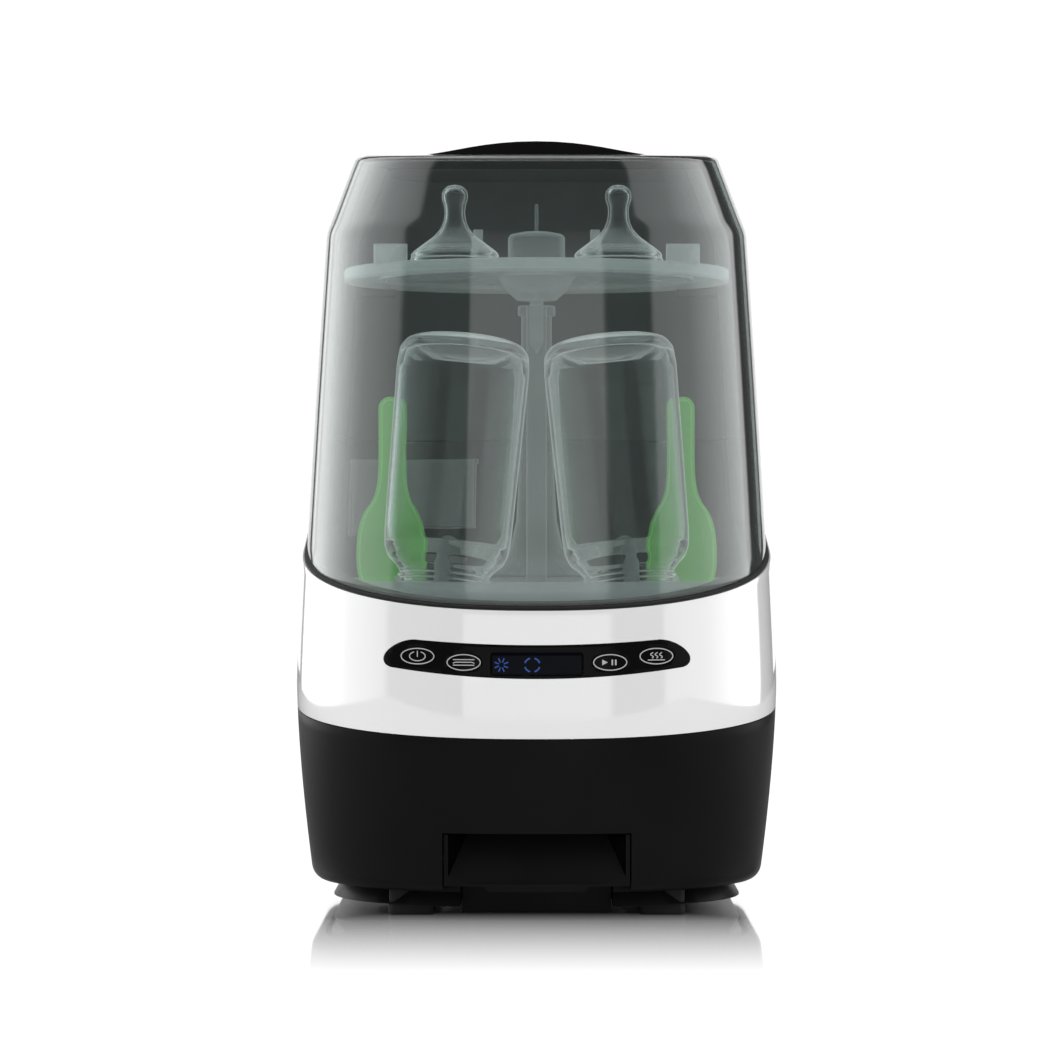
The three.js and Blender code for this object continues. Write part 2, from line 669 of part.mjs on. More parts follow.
// ---------------------------------------------------------------- spray system and lower rack
const STATIONS = {
  front_left: [-STATION_X, TOWER_Y - STATION_Y],
  front_right: [STATION_X, TOWER_Y - STATION_Y],
  rear_left: [-STATION_X, TOWER_Y + STATION_Y],
  rear_right: [STATION_X, TOWER_Y + STATION_Y],
};
const FILTER_RADIUS = SUMP_RADIUS - 1.5;
const TOWER_TOP_Z = 363.2;
const RACK_GAP = 4;
const NOZZLE_BASE = 9;

// A hollow tower: a foot in the sump, a flared skirt over the rack and a tube up to the tray.
function makeTower() {
  const bore = 6.4;
  const profile = [
    [bore, 130.6], [12, 130.6], [12, 172], [24, 187], [37, 195.6], [39.5, 198.5], [24, 206],
    [16, 216], [12.4, 232], [9.4, 290], [9.4, 357], [11.5, 357], [11.5, TOWER_TOP_Z],
    [bore, TOWER_TOP_Z], [bore, 130.6],
  ];
  return lathe(profile, 20).translate(0, TOWER_Y, 0);
}

function makeSumpFilter() {
  const [low, high] = [SUMP_FLOOR_Z + GAP, TUB_FLOOR_Z + 1.8];
  const r = FILTER_RADIUS;
  const profile = [
    [14, low], [r, low], [r, high - 1.4], [r + 5, high - 1.4], [r + 5, high], [r - 2, high],
    [r - 2, low + 2], [14, low + 2], [14, low],
  ];
  const slots = Array.from({ length: 4 }, (_, i) =>
    solid(
      new THREE.BoxGeometry(12, 12, 12).translate(r, 0, low + 11).rotateZ((i + 0.5) * (Math.PI / 2)),
    ),
  );
  return without(lathe(profile, 24), ...slots).translate(0, TOWER_Y, 0);
}

// A tray that follows the chamber's walls, with a low rim and open slots for the water.
function makeBottleRack() {
  const [low, floor] = [RACK_TOP_Z - 4, RACK_TOP_Z];
  const fit = (wall, z0, z1) => {
    const inset = TUB_INSET + TUB_WALL + RACK_GAP + wall;
    return bodySolid(inset, z0, z1, CHAMBER_BACK_Y - RACK_GAP - wall + inset);
  };
  const shell = fit(0, low, RACK_RIM_Z).subtract(fit(2.4, floor, RACK_RIM_Z + 5));
  const nozzleHoles = Object.values(STATIONS).map(([x, y]) => post(x, y, 150, 220, NOZZLE_BASE + GAP, NOZZLE_BASE + GAP, 16));
  const slots = [-98, 98].flatMap((x) =>
    [-60, -2, 56].map((y) => alongZ(roundedBox(x, y, 8, 46, 3.9), 150, 220, 2)),
  );
  const pegs = Object.values(STATIONS).flatMap(([x, y]) =>
    [45, 135, 225, 315].map((angle) => {
      const a = THREE.MathUtils.degToRad(angle);
      return post(x + 37 * Math.cos(a), y + 37 * Math.sin(a), floor - 1, floor + 15, 2.4, 1.8, 6);
    }),
  );
  const towerHole = post(0, TOWER_Y, 150, 220, 26, 26, 28);
  return without(joined(shell, ...pegs), towerHole, ...nozzleHoles, ...slots);
}

function makeNozzle([x, y]) {
  const low = TUB_FLOOR_Z + GAP;
  const profile = [
    [2, low], [NOZZLE_BASE, low], [NOZZLE_BASE, 186], [6, 189], [4.6, 212], [2, 216], [2, low],
  ];
  return lathe(profile, 16).translate(x, y, 0);
}

part("spray_tower", makeTower(), FINISH.translucent);
part("sump_filter", makeSumpFilter(), FINISH.steel);
part("bottle_rack", makeBottleRack(), FINISH.translucent);
for (const [name, at] of Object.entries(STATIONS)) {
  part(`jet_${name}`, makeNozzle(at), FINISH.greyLiner);
}

// ---------------------------------------------------------------- upper tray
const NIPPLE_X = 49.5;
const NIPPLE_Y = -50;
const TRAY_SKIRT = 3.6;
const SEAT_TOP_Z = 387.3;

// A round deck with a low skirt. A bowl and a pointed spigot hang under its middle.
function makeUpperTray() {
  const top = TRAY_TOP_Z;
  const under = TRAY_LOW_Z + TRAY_SKIRT;
  const r = TRAY_RADIUS;
  const profile = [
    [0, 366.5], [12, 366.5], [20, 373.5], [24, under], [94, under], [94, under - 2.4],
    [96.4, under - 2.4], [96.4, under], [r - 4, under], [r - 4, TRAY_LOW_Z], [r - 1, TRAY_LOW_Z],
    [r, TRAY_LOW_Z + 1.5], [r, top - 1.2], [r - 1.2, top], [0, top],
  ];
  const pan = lathe(profile, 36).translate(0, TOWER_Y, 0);
  const spigot = [[0, 334], [4.2, 341], [4.2, 370], [0, 370]];
  const blocks = [-1, 1].map((side) =>
    alongZ(roundedBox(side * 87, TOWER_Y - 72, 20, 10, 3), top - 1, 396, 3),
  );
  const nippleSeats = [-1, 1].flatMap((side) => [
    post(side * NIPPLE_X, NIPPLE_Y, top - 1, SEAT_TOP_Z, 21, 20, 20),
    alongZ(roundedBox(side * 36, NIPPLE_Y + 42, 6, 2.6, 1.2), top - 1, 411, 2),
  ]);
  const holes = Array.from({ length: 8 }, (_, i) => {
    const a = ((i + 0.5) / 8) * 2 * Math.PI;
    return post(80 * Math.cos(a), TOWER_Y + 80 * Math.sin(a), 360, 400, 6, 6, 8);
  });
  const pierced = without(pan, ...holes);
  return joined(pierced, lathe(spigot, 16).translate(0, TOWER_Y, 0), ...blocks, ...nippleSeats);
}

function makeHubCap() {
  const top = TRAY_TOP_Z + GAP;
  const profile = [
    [0, top], [17.5, top], [17.5, 405], [16, 407], [8, 408.6], [1.1, 409], [1.1, 425.7], [0, 425.7],
  ];
  return lathe(profile, 20).translate(0, TOWER_Y, 0);
}

part("upper_tray", makeUpperTray(), FINISH.translucent);
part("tray_hub", makeHubCap(), FINISH.translucent);

// ---------------------------------------------------------------- bottles, nipples, spoons
const BOTTLE_LENGTH = 153;
const BOTTLE_Z = RACK_TOP_Z + 4.4; // the middle of its mouth

// A bottle standing on its mouth: radius and height from the mouth plane.
function makeBottle(side) {
  const outside = [
    [26.6, 0], [26.6, 11], [29.4, 15], [34.6, 19.5], [37.2, 26], [38, 36], [39.8, 135], [38.8, 146],
    [35.2, 151], [30, BOTTLE_LENGTH], [0, BOTTLE_LENGTH - 2.6],
  ];
  const inside = [
    [0, BOTTLE_LENGTH - 6], [29, BOTTLE_LENGTH - 5], [35.8, 144], [37.4, 133], [35.6, 37],
    [34.6, 28], [28, 19.4], [24, 13], [24, 0],
  ];
  const upright = lathe([...outside, ...inside, [26.6, 0]], 26);
  const lean = [-THREE.MathUtils.radToDeg(LEAN_Y), -side * THREE.MathUtils.radToDeg(LEAN_X), 0];
  return upright.rotate(lean).translate(side * STATION_X, TOWER_Y - STATION_Y, BOTTLE_Z);
}

function makeNipple(side) {
  const z = SEAT_TOP_Z + GAP;
  const profile = [
    [23.5, 0], [27, 0], [27, 4.6], [19.4, 11.2], [12.8, 16], [8.6, 20.6], [6.8, 25.4], [6, 30.4],
    [7.8, 39.4], [7.4, 43.6], [4.3, 46.6], [0, 47.4],
    [0, 45.6], [5.6, 41.6], [4.4, 31], [5.2, 25.4], [7.2, 20.8], [11.4, 16], [18, 10.4], [23.5, 4], [23.5, 0],
  ];
  return lathe(profile, 18).translate(side * NIPPLE_X, NIPPLE_Y, z);
}

const SPOON_X = 89;
const SPOON_Y = -40;
function makeSpoon(side) {
  const [low, top] = [RACK_TOP_Z + 0.4, 307];
  const s = new THREE.Shape();
  s.moveTo(7, top - 7);
  s.absarc(0, top - 7, 7, 0, Math.PI);
  s.bezierCurveTo(-7, 262, -6, 252, -12, 242);
  s.bezierCurveTo(-19, 234, -20.5, 224, -20.5, low + 24);
  s.bezierCurveTo(-20.5, low + 6, -12, low, 0, low);
  s.bezierCurveTo(12, low, 20.5, low + 6, 20.5, low + 24);
  s.bezierCurveTo(20.5, 224, 19, 234, 12, 242);
  s.bezierCurveTo(6, 252, 7, 262, 7, top - 7);
  const blade = alongY(s, -2, 2, 8);
  const bowl = alongY(ellipse(0, low + 27, 16.5, 22), -3, 0.4, 14);
  return blade.subtract(bowl).translate(side * SPOON_X, SPOON_Y, 0);
}

for (const [name, side] of [["left", -1], ["right", 1]]) {
  part(`bottle_${name}`, makeBottle(side), FINISH.clear);
  part(`nipple_${name}`, makeNipple(side), FINISH.clear);
  part(`spoon_${name}`, makeSpoon(side), FINISH.green);
}

// ---------------------------------------------------------------- detergent cup
// It follows the chamber's walls in the left rear corner.
function makeDetergentCup() {
  const [x, y, width, depth] = [-78, 88, 84, 26];
  const fit = (wall) => chamber(TUB_WALL + GAP + wall, 205, 290);
  const outer = alongZ(roundedBox(x, y, width, depth, 8), 222, 271, 3).intersect(fit(0));
  const inner = alongZ(roundedBox(x, y, width - 4, depth - 4, 6), 224, 280, 3).intersect(fit(2));
  const lip = alongZ(roundedBox(x, y, width + 3, depth + 1, 9), 268, 271, 3).intersect(fit(0));
  return outer.add(lip).subtract(inner);
}

part("detergent_cup", makeDetergentCup(), FINISH.translucent);

// ---------------------------------------------------------------- clean-water tank
const LID_LOW_Z = CLEAN_TOP_Z + GAP;
const HANDLE_Y = 118;
const HANDLE_Z = 448;
const HANDLE_PIN = 1.7;

function tankShape(shrink, radius) {
  const [width, depth] = [2 * CLEAN_HALF - 2 * shrink, CLEAN_DEPTH - 2 * shrink];
  return roundedBox(0, CLEAN_Y, width, depth, radius - shrink);
}

function makeCleanTank() {
  const outer = alongZ(tankShape(0, 2.5), CLEAN_LOW_Z, CLEAN_TOP_Z, 1);
  const [x, y] = [CLEAN_HALF - 2, CLEAN_DEPTH / 2 - 2];
  const inner = box(-x, x, CLEAN_Y - y, CLEAN_Y + y, CLEAN_LOW_Z + 2.4, CLEAN_TOP_Z + 5);
  return without(outer, inner, post(0, CLEAN_Y, 150, 180, 8.6, 8.6, 16));
}

function makeCleanTankLid() {
  const outer = alongZ(tankShape(0, 4), LID_LOW_Z, 480, 3).subtract(aboveTop(0));
  const inner = alongZ(tankShape(3, 4), LID_LOW_Z - 5, 438, 2);
  const recess = alongZ(roundedBox(0, CLEAN_Y, 118, 28, 6), 441.5, 490, 3);
  const ears = [-1, 1].map((side) => {
    const x = side * 52;
    return box(x - 2.5, x + 2.5, HANDLE_Y - 4, HANDLE_Y + 4, 440, HANDLE_Z + 4)
      .subtract(bar("x", x - 9, x + 9, HANDLE_Y, HANDLE_Z, HANDLE_PIN + PIN_GAP, 12));
  });
  return joined(without(outer, inner, recess), ...ears);
}

// A bail that lies in the lid's recess.
function makeTankHandle() {
  const pins = [-1, 1].map((side) => {
    const [a, b] = [side * 46, side * 55.6].sort((p, q) => p - q);
    return bar("x", a, b, HANDLE_Y, HANDLE_Z, HANDLE_PIN, 12);
  });
  const legs = [-1, 1].map((side) => {
    const x = side * 46.6;
    return box(x - 2, x + 2, HANDLE_Y - 2.6, 139, HANDLE_Z - 2.4, HANDLE_Z + 2.4);
  });
  return joined(...pins, ...legs, box(-48, 48, 133, 139, HANDLE_Z - 2.4, HANDLE_Z + 2.4));
}

function makeTankShelf() {
  const [low, high] = [CLEAN_LOW_Z - 3.4, CLEAN_LOW_Z - GAP];
  const plate = bodySolid(WALL + GAP, low, high).subtract(box(-200, 200, -300, 103.4, 0, 300));
  const socket = post(0, CLEAN_Y, low - 10, low + 1, 12.4, 12.4, 16);
  return joined(plate, socket).subtract(post(0, CLEAN_Y, low - 8, high + 5, 9.4, 9.4, 16));
}

function makeTankValve() {
  const z = CLEAN_LOW_Z;
  const profile = [
    [0, z - 9], [5, z - 9], [8, z - 6], [8, z + 5], [11, z + 5], [11, z + 8], [0, z + 8],
  ];
  return lathe(profile, 24).translate(0, CLEAN_Y, 0);
}

part("clean_tank", makeCleanTank(), FINISH.smoke);
part("clean_tank_lid", makeCleanTankLid(), FINISH.black);
part("tank_handle", makeTankHandle(), FINISH.black);
part("tank_shelf", makeTankShelf(), FINISH.greyLiner);
part("tank_valve", makeTankValve(), FINISH.black);

// ---------------------------------------------------------------- inside the base
const WASH_PUMP = [-88, 38];
const DRAIN_PUMP = [-86, -58];
const FAN = { x: 60, z: 84, y0: 106, y1: 140 };

function makePump([x, y], z0, z1, radius) {
  return joined(
    post(x, y, z0, z1, radius, radius, 20),
    post(x, y, z1 - 1, z1 + 8, radius + 4, radius + 4, 20),
    post(x, y, z1 + 7, z1 + 16, 7, 7, 16),
    box(x - radius - 4, x + radius + 4, y - 5, y + 5, z0, z0 + 4),
  );
}

function makeHeater() {
  return lathe([[43, 139], [62, 139], [62, 146], [56, 148.6], [49, 148.6], [43, 146], [43, 139]], 28)
    .translate(0, TOWER_Y, 0);
}

function makeFanHousing() {
  const { x, z, y0, y1 } = FAN;
  const drum = bar("y", y0, y1, x, z, 34, 24).add(box(x, x + 34, y0, y1, z, z + 38));
  const chamberHole = bar("y", y0 + 2, y1 - 2, x, z, 31.6, 24);
  const outlet = box(x + 6, x + 32, y0 + 2, y1 - 2, z, z + 60);
  return without(drum, chamberHole, outlet, bar("y", y1 - 4, y1 + 4, x, z, 22, 16));
}

function makeImpeller() {
  const { x, z, y0, y1 } = FAN;
  const blades = Array.from({ length: 9 }, (_, i) => {
    const g = new THREE.BoxGeometry(12, 24, 2.4).rotateY(0.5).translate(21, 0, 0);
    return solid(g.rotateY((i / 9) * 2 * Math.PI).translate(x, y0 + 17, z));
  });
  const disc = bar("y", y0 + 3.6, y0 + 6.6, x, z, 28, 20);
  return joined(disc, bar("y", y0 + 3.6, y1 - 8, x, z, 7, 12), ...blades);
}

function makeFilterCover() {
  const plate = alongY(rearPanel(FILTER, 0), 120, 200, 4)
    .intersect(bodySolid(0.3, 20, 200).subtract(bodySolid(3, 15, 205)));
  const slots = Array.from({ length: 6 }, (_, i) => {
    const z = FILTER.z - 20 + i * 8;
    return box(FILTER.x - 28, FILTER.x + 28, 120, 200, z - 1.6, z + 1.6);
  });
  return without(plate, ...slots);
}

function makeInlet() {
  const { x, z } = INLET;
  const body = alongY(rearPanel(INLET, 0), 138, 190, 4).intersect(bodySolid(0.4, 15, 130));
  const socket = box(x - 10.5, x + 10.5, 152, 200, z - 6.5, z + 6.5);
  const pins = [-6, 0, 6].map((dx) => {
    return box(x + dx - 1, x + dx + 1, 150, 160, z - 2.5, z + 2.5);
  });
  return joined(without(body, socket), ...pins);
}

function makePowerBoard() {
  const board = box(68, 118, -70, 34, 27, 28.6);
  const tall = [[80, -52, 9, 26], [100, -30, 8, 22], [84, 6, 10, 16]].map(([x, y, r, h]) =>
    post(x, y, 28, 28.6 + h, r, r, 12),
  );
  const legs = [[72, -66], [114, -66], [72, 30], [114, 30]].map(([x, y]) =>
    post(x, y, PLATE_TOP_Z + GAP, 27.4, 2.6, 2.6, 10),
  );
  return joined(board, ...tall, ...legs, box(92, 112, -14, 24, 28, 48));
}

part("wash_pump", makePump(WASH_PUMP, PLATE_TOP_Z + GAP, 82, 25), FINISH.black);
part("drain_pump", makePump(DRAIN_PUMP, PLATE_TOP_Z + GAP, 62, 17), FINISH.black);
const washHose = tube([[-88, 38, 99], [-88, 38, 112], [-64, 20, 121], [-38.9, -4, 134]], 5, 9);
part("wash_hose", washHose, FINISH.rubber);
const drainHose = tube([[-86, -58, 79], [-86, -58, 90], [-62, -59, 94], [-30, -60, 62], [-30, -60, 51]], 4.6, 10);
part("drain_hose", drainHose, FINISH.rubber);
part("heater_ring", makeHeater(), FINISH.steel);
part("fan_housing", makeFanHousing(), FINISH.black);
part("fan_impeller", makeImpeller(), FINISH.greyLiner);
part("air_filter", box(FILTER.x - 33, FILTER.x + 33, 143, 156, 60, 108), FINISH.filter);
part("filter_cover", makeFilterCover(), FINISH.black);
part("power_board", makePowerBoard(), FINISH.board);
part("power_inlet", makeInlet(), FINISH.black);

export default group;
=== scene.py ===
import json
import math

import bmesh
import bpy
from mathutils import Matrix, Vector


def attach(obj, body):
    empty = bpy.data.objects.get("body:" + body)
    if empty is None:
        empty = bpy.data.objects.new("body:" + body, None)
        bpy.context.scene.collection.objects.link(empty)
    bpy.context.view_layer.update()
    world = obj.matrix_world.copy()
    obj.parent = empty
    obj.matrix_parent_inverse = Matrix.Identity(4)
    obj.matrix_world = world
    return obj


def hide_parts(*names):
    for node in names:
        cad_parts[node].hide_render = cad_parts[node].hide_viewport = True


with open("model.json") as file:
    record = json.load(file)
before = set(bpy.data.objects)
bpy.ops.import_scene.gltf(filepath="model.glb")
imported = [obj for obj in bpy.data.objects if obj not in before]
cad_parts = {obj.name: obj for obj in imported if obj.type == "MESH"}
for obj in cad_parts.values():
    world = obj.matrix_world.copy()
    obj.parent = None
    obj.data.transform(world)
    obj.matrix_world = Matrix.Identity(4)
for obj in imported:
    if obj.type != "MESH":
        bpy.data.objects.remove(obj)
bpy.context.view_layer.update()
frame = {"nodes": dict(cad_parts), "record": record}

MM = 0.001
RECORD = frame["record"]
NODE_BODY = {n: b for b, ns in RECORD["behaviour"]["bodies"].items() for n in ns}
NODE_SLOT = {s["node"]: s["material_slot"] for s in RECORD["subparts"]}

# ------------------------------------------------------------------ the body's outline, in mm
HALF_WIDTH = 145.0
WIDEST_Y, WIDEST_Z = -45.0, 135.0
FRONT_SHORTER, FRONT_POWER = 20.0, 2.3
REAR_DEPTH, REAR_RADIUS = 215.0, 45.0
BASE_LOW_Z, BASE_NARROWING, BASE_POWER = 25.0, 9.0, 1.6
DOME_NARROWING, DOME_POWER = 15.4, 1.2
CHAMFER_Z, CHAMFER_SLOPE, CHAMFER_SOFT = 405.0, 0.38, 3.0
SEAM_Z, SEAM_SLOPE, SEAM_HALF_GAP = 121.8, 0.134, 0.2
RIM_Z, RIM_SLOPE = 216.0, 0.28
PARTING_Y, PARTING_RADIUS = 27.0, 34.0
TOP_Z, TOP_SLOPE = 454.6, 0.075
REAR_TOP_LINE = [(PARTING_Y, 460.0), (60.0, 461.0), (103.0, 458.0), (220.0, 445.0)]

RIM_ANGLE = math.atan(RIM_SLOPE)
ARC_Y = PARTING_Y - PARTING_RADIUS
ARC_Z = RIM_Z + RIM_SLOPE * (ARC_Y - WIDEST_Y) + PARTING_RADIUS / math.cos(RIM_ANGLE)


def spread(low, high, count):
    return [low + (high - low) * i / count for i in range(count + 1)]


def half_width(z):
    """Half of the body's width at height z, with a soft bend into the chamfer at the shoulder."""
    if z < WIDEST_Z:
        down = (WIDEST_Z - z) / (WIDEST_Z - BASE_LOW_Z)
        return HALF_WIDTH - BASE_NARROWING * down**BASE_POWER
    up = min(1.0, (z - WIDEST_Z) / (CHAMFER_Z - WIDEST_Z))
    over = z - CHAMFER_Z
    if over < -CHAMFER_SOFT:
        lean = 0.0
    elif over > CHAMFER_SOFT:
        lean = over
    else:
        lean = (over + CHAMFER_SOFT) ** 2 / (4 * CHAMFER_SOFT)
    return HALF_WIDTH - DOME_NARROWING * up**DOME_POWER - lean * CHAMFER_SLOPE


def rear_face(z):
    """The rear surface's y: it narrows as the base does, and half as much as the upper body."""
    share = 1.0 if z < WIDEST_Z else 0.5
    return WIDEST_Y + REAR_DEPTH - share * (HALF_WIDTH - half_width(z))


def front_y(x, z, inset):
    """The front surface's y at (x, z)."""
    a = half_width(z) - inset
    share = min(1.0, abs(x) / a) ** FRONT_POWER
    return WIDEST_Y - (a - FRONT_SHORTER) * (1 - share) ** (1 / FRONT_POWER)


def column_xy(column, z, inset):
    """Where a column of the skin stands at height z. A column is ("front", angle), ("side", side, y),
    ("flank", side, y, share), ("corner", side, angle) or ("back", x share). A flank column stands that
    share of the way from y to the rear corner."""
    a = half_width(z) - inset
    kind = column[0]
    if kind == "front":
        c, s = math.cos(column[1]), math.sin(column[1])
        power = 2 / FRONT_POWER
        x = a * math.copysign(abs(c) ** power, c)
        return x, WIDEST_Y - (a - FRONT_SHORTER) * abs(s) ** power
    back = rear_face(z) - inset
    r = REAR_RADIUS - inset
    if kind == "side":
        return column[1] * a, column[2]
    if kind == "flank":
        return column[1] * a, column[2] + (back - r - column[2]) * column[3]
    if kind == "corner":
        cx, cy = column[1] * (a - r), back - r
        return cx + column[1] * r * math.cos(column[2]), cy + r * math.sin(column[2])
    return column[1] * (a - r), back


def top_z(y, drop=0.0):
    """Height of the top surface at y, less drop."""
    if y <= PARTING_Y:
        return TOP_Z + TOP_SLOPE * (y - WIDEST_Y) - drop
    for (y0, z0), (y1, z1) in zip(REAR_TOP_LINE, REAR_TOP_LINE[1:]):
        if y <= y1:
            return z0 + (z1 - z0) * (y - y0) / (y1 - y0) - drop
    return REAR_TOP_LINE[-1][1] - drop


def parting_z(y, offset):
    """Height of the dome's lower edge at y, moved down and back by offset."""
    r = PARTING_RADIUS + offset
    if y <= ARC_Y + r * math.sin(RIM_ANGLE):
        return RIM_Z + RIM_SLOPE * (y - WIDEST_Y) - offset / math.cos(RIM_ANGLE)
    return ARC_Z - math.sqrt(max(0.0, r * r - (y - ARC_Y) ** 2))


SETTLE_STEPS = 14


def meeting_z(column, inset, height_at):
    """Height where a column meets a line, given by its height at each y."""
    z = WIDEST_Z
    for _ in range(SETTLE_STEPS):
        z = height_at(column_xy(column, z, inset)[1])
    return z


def parting_on(column, inset, offset):
    return meeting_z(column, inset, lambda y: parting_z(y, offset))


def seam_on(column, lift):
    """Height of the seam between the housing and the base on a column, raised by lift."""
    return meeting_z(column, 0, lambda y: SEAM_Z + lift + SEAM_SLOPE * (y - WIDEST_Y))


FRONT_COLUMNS, SIDE_COLUMNS, ARC_COLUMNS = 88, 7, 12
FLANK_COLUMNS, CORNER_COLUMNS, BACK_COLUMNS = 8, 10, 12


def dome_columns(offset):
    """Columns from the left parting edge round the front to the right one."""
    r = PARTING_RADIUS + offset
    arc_ys = [ARC_Y + r * math.sin(a) for a in spread(RIM_ANGLE, math.pi / 2, ARC_COLUMNS)]
    ys = spread(WIDEST_Y, arc_ys[0], SIDE_COLUMNS)[1:-1] + arc_ys
    left = [("side", -1, y) for y in reversed(ys)]
    front = [("front", a) for a in spread(math.pi, 2 * math.pi, FRONT_COLUMNS)]
    right = [("side", 1, y) for y in ys]
    return left + front + right


def rear_columns(offset):
    """Columns from the right parting edge round the back to the left one."""
    start = PARTING_Y + offset
    shares = spread(0.0, 1.0, FLANK_COLUMNS)[:-1]
    corner = spread(0.0, math.pi / 2, CORNER_COLUMNS)
    back = spread(1.0, -1.0, BACK_COLUMNS)[1:-1]
    return (
        [("flank", 1, start, s) for s in shares]
        + [("corner", 1, a) for a in corner]
        + [("back", s) for s in back]
        + [("corner", -1, math.pi / 2 - a) for a in corner]
        + [("flank", -1, start, s) for s in reversed(shares)]
    )


def full_ring(offset):
    """Columns all the way round."""
    return dome_columns(offset)[:-1] + rear_columns(offset)[:-1]


# ------------------------------------------------------------------ making meshes
def mesh_object(name, bm):
    bmesh.ops.recalc_face_normals(bm, faces=bm.faces)
    mesh = bpy.data.meshes.new(name)
    bm.to_mesh(mesh)
    bm.free()
    obj = bpy.data.objects.new(name, mesh)
    bpy.context.scene.collection.objects.link(obj)
    return obj


def new_piece(name, bm, body, replaced, smooth_angle=40.0):
    """A piece that rides on a body and stands in for one CAD node, or for none."""
    obj = mesh_object(name, bm)
    smooth(obj, smooth_angle)
    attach(obj, body)
    if replaced:
        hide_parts(replaced)
    return obj


def smooth(obj, angle):
    """Shades smooth, except over edges that bend by more than the angle in degrees."""
    mesh = obj.data
    for p in mesh.polygons:
        p.use_smooth = True
    bm = bmesh.new()
    bm.from_mesh(mesh)
    limit = math.radians(angle)
    for e in bm.edges:
        e.smooth = not (len(e.link_faces) == 2 and e.calc_face_angle(0) > limit)
    bm.to_mesh(mesh)
    bm.free()


def paint(obj, material):
    obj.data.materials.clear()
    obj.data.materials.append(material)


def add_grid(bm, rows, wrap=False, close=False):
    """Quads between rows of points in mm. wrap joins the last column to the first, close the last row."""
    made_rows = [[bm.verts.new(Vector(p) * MM) for p in row] for row in rows]
    pairs = list(zip(made_rows, made_rows[1:]))
    if close:
        pairs.append((made_rows[-1], made_rows[0]))
    for a, b in pairs:
        n = len(a)
        for i in range(n if wrap else n - 1):
            j = (i + 1) % n
            quad = [a[i], a[j], b[j], b[i]]
            if len({v.co.to_tuple(7) for v in quad}) >= 3:
                bm.faces.new(quad)
    return made_rows


def weld(bm, distance=1e-5):
    """Joins points that are closer than the distance in metres."""
    bmesh.ops.remove_doubles(bm, verts=bm.verts, dist=distance)
    bmesh.ops.dissolve_degenerate(bm, edges=bm.edges, dist=1e-7)


def apply_all(obj):
    """Makes the object's modifiers part of its mesh."""
    bpy.context.view_layer.update()
    graph = bpy.context.evaluated_depsgraph_get()
    mesh = bpy.data.meshes.new_from_object(obj.evaluated_get(graph))
    obj.modifiers.clear()
    obj.data = mesh


def solidify(obj, thickness):
    """Gives a skin this thickness, inwards."""
    m = obj.modifiers.new("wall", "SOLIDIFY")
    m.thickness = thickness * MM
    m.offset = -1.0
    m.use_even_offset = True
    m.use_quality_normals = True
    apply_all(obj)


BEVEL_STEPS = 2
SMOOTH_AFTER_BEVEL = 50.0


def bevel(obj, width, angle=50.0):
    m = obj.modifiers.new("edges", "BEVEL")
    m.width = width * MM
    m.segments = BEVEL_STEPS
    m.limit_method = "ANGLE"
    m.angle_limit = math.radians(angle)
    apply_all(obj)
    smooth(obj, SMOOTH_AFTER_BEVEL)


def combine(obj, tool_bm, operation):
    tool = mesh_object("tool", tool_bm)
    m = obj.modifiers.new("cut", "BOOLEAN")
    m.operation = operation
    m.solver = "EXACT"
    m.object = tool
    apply_all(obj)
    bpy.data.objects.remove(tool)


def add_prism(bm, outline, axis, low, high):
    """Extrudes an outline: (x, z) points along Y, or (x, y) points along Z."""
    place = {"y": lambda u, v, w: (u, w, v), "z": lambda u, v, w: (u, v, w)}[axis]
    rows = [[place(u, v, w) for u, v in outline] for w in (low, high)]
    made_rows = add_grid(bm, rows, wrap=True)
    bm.faces.new(made_rows[0])
    bm.faces.new(made_rows[1])


def cut(obj, outline, axis, low, high, operation="DIFFERENCE"):
    """Cuts a prism of this outline out of the object, or keeps only what is inside it."""
    tool = bmesh.new()
    add_prism(tool, outline, axis, low, high)
    combine(obj, tool, operation)


def round_rect(cx, cy, width, depth, radius, steps=8):
    points = []
    for qx, qy, start in ((1, 1, 0), (-1, 1, 90), (-1, -1, 180), (1, -1, 270)):
        for i in range(steps + 1):
            a = math.radians(start + 90 * i / steps)
            x = cx + qx * (width / 2 - radius) + radius * math.cos(a)
            points.append((x, cy + qy * (depth / 2 - radius) + radius * math.sin(a)))
    return points


def oval(cx, cy, rx, ry, steps=56):
    angles = [2 * math.pi * i / steps for i in range(steps)]
    return [(cx + rx * math.cos(a), cy + ry * math.sin(a)) for a in angles]


def arc(cx, cz, rx, rz, start, end, steps=24):
    angles = [math.radians(a) for a in spread(start, end, steps)]
    return [(cx + rx * math.cos(a), cz + rz * math.sin(a)) for a in angles]


def bezier(points, steps):
    """Points along a quadratic or cubic curve, without the first."""
    out = []
    for k in range(1, steps + 1):
        t = k / steps
        level = [tuple(p) for p in points]
        while len(level) > 1:
            level = [tuple(a + (b - a) * t for a, b in zip(p, q)) for p, q in zip(level, level[1:])]
        out.append(level[0])
    return out


def soften(profile, radius, steps):
    """Rounds each inner corner of a line of points by a quadratic curve."""
    longest_share = 0.45
    out = [profile[0]]
    for a, p, b in zip(profile, profile[1:], profile[2:]):
        la, lb = math.dist(a, p), math.dist(b, p)
        ka, kb = min(radius, la * longest_share) / la, min(radius, lb * longest_share) / lb
        s = (p[0] + (a[0] - p[0]) * ka, p[1] + (a[1] - p[1]) * ka)
        e = (p[0] + (b[0] - p[0]) * kb, p[1] + (b[1] - p[1]) * kb)
        for k in range(steps + 1):
            t = k / steps
            out.append(tuple((1 - t) ** 2 * s[j] + 2 * t * (1 - t) * p[j] + t * t * e[j] for j in (0, 1)))
    return out + [profile[-1]]


